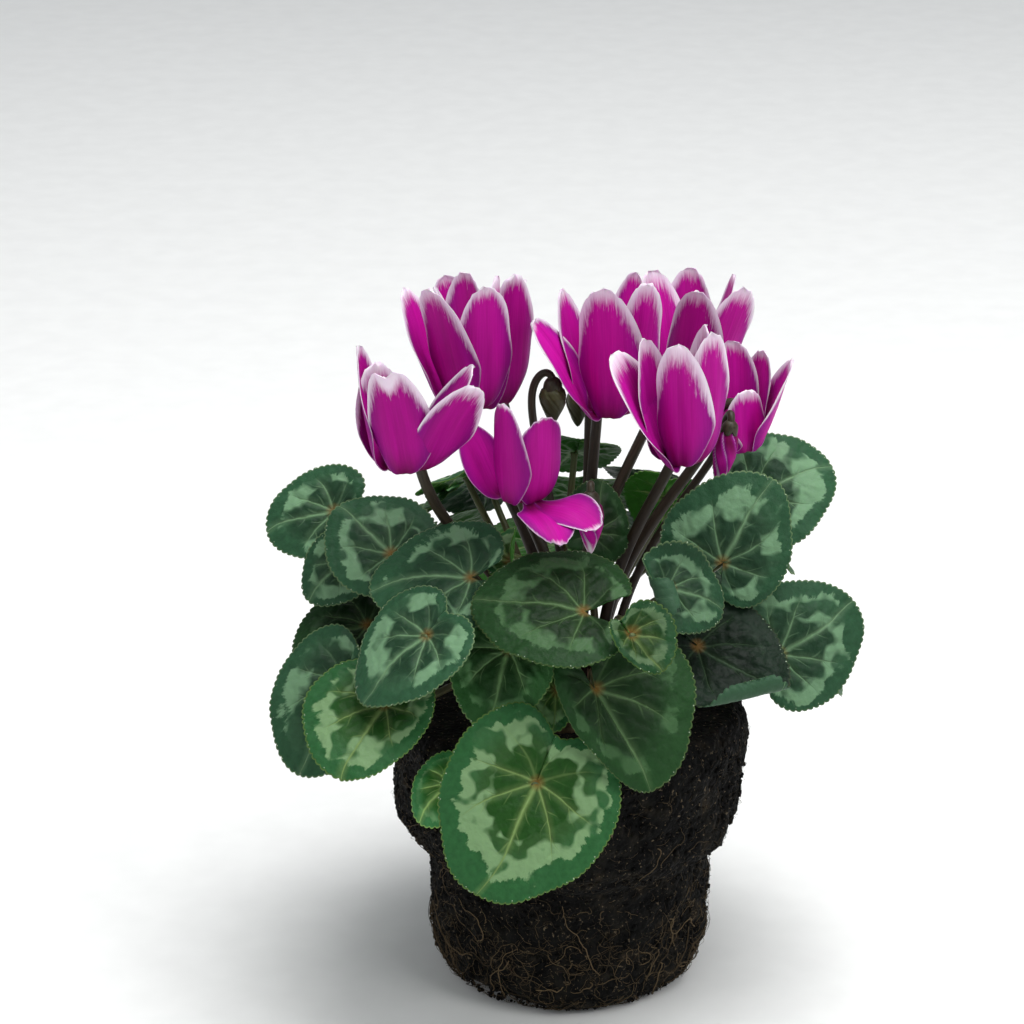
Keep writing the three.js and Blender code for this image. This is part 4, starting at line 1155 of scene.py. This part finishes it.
def make_plug(peat):
    """The plug's skin: peat in clods and crumbs over its turned shape, with a worn lower edge. It
    goes from the middle of the foot up the side, over the top and down into the corm's hollow."""
    profile = np.array([
        (0.2, 0), (12, 0), (24, 0), *BALL_PROFILE, (46, 94.6), (38, 94.4), (30, 94), (26.6, 93.6),
        (26.2, 91), (24.6, 88.2), (20, 85.6), (12, 83.6), (0.2, 82.7),
    ])
    run = run_along(profile)
    even = np.linspace(0, run[-1], PLUG_ROWS)
    radius, height = (np.interp(even, run, profile[:, k]) for k in (0, 1))
    radius[1:-1] = np.convolve(radius, [0.25, 0.5, 0.25], "valid")
    angle, up = np.meshgrid(circle(PLUG_SIDES), height)
    out = np.repeat(radius[:, None], PLUG_SIDES, 1)
    out = out + worn_by(angle, up) * np.clip((out - 34) / 4, 0, 1) * (up < PEAT_TOP)
    points = polar(out, angle, up)
    big, small, fine = (
        clods(points, spread, depth, seed)
        for spread, depth, seed in ((9.0, 1.0, 3.1), (2.6, 0.5, 8.7), (1.4, 0.34, 5.3))
    )
    push = np.where(up < PEAT_TOP, big + small + fine, 0) * np.clip((out - 27) / 6, 0, 1)
    out = out + push * (0.35 + 0.65 * np.clip(up / 7, 0, 1))
    heave = np.where(out > 26.8, 0.7 * np.abs(small) + 0.6 * big, 0) * (up > 90)
    worn = np.maximum(0, 1.6 + 2.2 * np.sin(2 * angle + 0.6) + 1.4 * np.sin(5 * angle))
    worn = worn * np.clip((out - 33) / 8, 0, 1) * np.clip((9 - up) / 9, 0, 1)
    shape = Shape()
    points = polar(out, angle, np.maximum(up + heave + worn, 0))
    shape.add(points, closed_skin(PLUG_ROWS, PLUG_SIDES))
    shape.piece("root_ball_peat", [peat], "peat", "root_ball")


def make_crumbs(peat):
    """Loose crumbs of peat 0.6 to 3 mm across, which cling all over the plug."""
    chance = draws(CRUMB_SEED)
    base = bmesh.new()
    bmesh.ops.create_icosphere(base, subdivisions=1, radius=1.0)
    ball = np.array([v.co[:] for v in base.verts])
    faces = np.array([[v.index for v in f.verts] for f in base.faces])
    base.free()
    angle = chance.uniform(0, ROUND, CRUMB_COUNT)
    height = chance.uniform(1.5, 93, CRUMB_COUNT)
    size = 0.28 + 0.95 * chance.random(CRUMB_COUNT) ** 3
    centre = polar(side_radius(angle, height) - 0.1 * size, angle, height)
    squash = chance.uniform(0.6, 1.3, (CRUMB_COUNT, 1, 3))
    jitter = chance.uniform(0.7, 1.25, (CRUMB_COUNT, len(ball), 1))
    points = centre[:, None] + ball[None] * jitter * squash * size[:, None, None]
    points[..., 2] = np.maximum(points[..., 2], 0.05)
    numbers = faces[None] + len(ball) * np.arange(CRUMB_COUNT)[:, None, None]
    shape = Shape()
    shape.add(points, [numbers.reshape(-1, 3)])
    shape.piece("root_ball_crumbs", [peat], "peat")


def add_roots(shape, chance, count, low, high, length, steps, wander, girth, proud, sides, tone):
    """Roots that wander over the plug's side: each dives in at its ends and stands a little proud
    between."""
    angle = chance.uniform(0, ROUND, count)
    height = low + (high - low) * chance.random(count)
    heading = chance.uniform(0, ROUND, count)
    run = (length[0] + (length[1] - length[0]) * chance.random(count) ** 1.5) / steps
    angles, heights = [angle], [height]
    curl = chance.normal(0, wander, count)
    for _ in range(steps - 1):
        curl = 0.25 * curl + chance.normal(0, wander, count)
        heading = heading + curl
        angle = angle + run * np.cos(heading) / PLUG_RADIUS
        height = np.clip(height + run * np.sin(heading), 0.8, 92)
        angles.append(angle)
        heights.append(height)
    angles, heights = np.stack(angles, 1), np.stack(heights, 1)
    radii = chance.uniform(*girth, count)[:, None] * np.linspace(1.1, 0.55, steps)[None]
    swell = np.sin(np.pi * np.linspace(0.02, 0.98, steps))[None]
    lift = chance.uniform(*proud, count)[:, None] * swell + radii * 0.4
    paths = polar(side_radius(angles, heights) + lift, angles, heights)
    paths[..., 2] = np.maximum(paths[..., 2], radii + 0.05)
    points, faces = tubes(paths, radii, sides)
    shape.add(points, faces, tone=np.repeat(chance.uniform(*tone, count), steps * sides))


def make_roots(root):
    """The net of feeder roots, densest low on the plug, and the fibres that stand out of the peat.
    A row: how many, the lowest and highest start, lengths, steps, wander, radii, how proud they
    stand, sides and tones."""
    chance = draws(ROOT_SEED)
    for piece, rows in (
        ("root_ball_net", (
            (190, 2, 24, (10, 34), 26, 0.34, (0.09, 0.26), (0.2, 1.3), 6, (0.1, 1)),
            (60, 24, 46, (8, 22), 22, 0.34, (0.08, 0.2), (0.2, 1.1), 6, (0, 0.7)),
            (70, 48, 90, (6, 20), 20, 0.38, (0.07, 0.18), (0.2, 1.1), 6, (0, 0.7)),
        )),
        ("root_ball_hairs", (
            (1500, 1, 92, (2, 7), 5, 0.4, (0.04, 0.09), (0.2, 1.6), 3, (0, 0.7)),
            (800, 1, 30, (4, 14), 9, 0.4, (0.05, 0.1), (0.3, 1.6), 3, (0.1, 0.9)),
        )),
    ):
        shape = Shape()
        for row in rows:
            add_roots(shape, chance, *row)
        shape.piece(piece, [root], "peat")


# ---------------------------------------------------------------- the plant

leaf_skins = {
    tone: waxy_leaf(f"waxy_leaf_{tone}", *colours)
    for tone, colours in {
        "young": ("#27531e", "#32683a", "#86ab78", "#8fae68", "#7f9a4c", "#3c7a2a"),
        "mid": ("#1f3b1d", "#2a5129", "#669060", "#6f9160", "#6f8650", "#2c5f22"),
        "old": ("#213c28", "#2b4f35", "#6b8f6c", "#6c8d68", "#71865c", "#34513b"),
    }.items()
}
leaf_stem = fleshy_stalk("fleshy_leaf_stalk", "#4a2f27", "#4f5c34", "#30201b")
flower_stem = fleshy_stalk("fleshy_flower_stalk", "#33241f", "#383424", "#1a1210")
bud_skin = fleshy_stalk("furled_bud_skin", "#4a4a2c", "#33361f", "#271d18")
petal_skin = silky_petal("silky_petal", "#6a0644", "#b40f8e", "#8a1280", "#eadce8")
peat = milled_peat()

make_leaves(leaf_skins, leaf_stem)
make_blooms(petal_skin, flower_stem)
make_buds(petal_skin, flower_stem, bud_skin)
make_corm(corky_corm())
make_plug(peat)
make_crumbs(peat)
make_roots(live_root("live_root", "#15120e", "#66563f"))

# ---------------------------------------------------------------- floor, light and camera

FLOOR_REACH = 6  # metres
PLANT_MIDDLE = Vector((0, 0, 0.12))  # metres
CAMERA_TARGET = np.array([-18.5, 0, 158.5])
CAMERA_DISTANCE = 1100
CAMERA_TILT = math.radians(21)
FOCAL_LENGTH = 121.64
SENSOR_WIDTH = 36

floor = bpy.data.meshes.new("studio_floor")
corners = [(x * FLOOR_REACH, y * FLOOR_REACH, 0) for x, y in ((-1, -1), (1, -1), (1, 1), (-1, 1))]
floor.from_pydata(corners, [], [(0, 1, 2, 3)])
floor.materials.append(painted_floor())
ground = into_scene("studio_floor", floor)

# Square softboxes that point at the plant: where each is and its side in metres, and its watts.
for name, place, size, power in (
    ("softbox_over", (0.25, -0.05, 1.7), 1.3, 30),
    ("softbox_right", (1.2, -1.0, 1.3), 0.9, 11),
    ("softbox_left", (-1.3, -1.1, 1.0), 1.2, 5),
):
    lamp = bpy.data.lights.new(name, "AREA")
    lamp.size = size
    lamp.energy = power
    softbox = into_scene(name, lamp)
    softbox.location = place
    softbox.rotation_euler = (PLANT_MIDDLE - Vector(place)).to_track_quat("-Z", "Y").to_euler()

sky = bpy.data.worlds.new("studio_sky")
sky.use_nodes = True
sky.node_tree.nodes.clear()
glow = add_node(sky.node_tree, "Background", {"Color": linear("#e8edf2"), "Strength": 0.42})
add_node(sky.node_tree, "OutputWorld", {"Surface": glow})
bpy.context.scene.world = sky
bpy.context.scene.view_settings.view_transform = "Standard"

lens = bpy.data.cameras.new("camera")
lens.lens = FOCAL_LENGTH
lens.sensor_width = SENSOR_WIDTH
camera = into_scene("camera", lens)
behind = np.array([0, -math.cos(CAMERA_TILT), math.sin(CAMERA_TILT)])
camera.location = (CAMERA_TARGET + CAMERA_DISTANCE * behind) * MM
camera.rotation_euler = (math.radians(90) - CAMERA_TILT, 0, 0)
bpy.context.scene.camera = camera
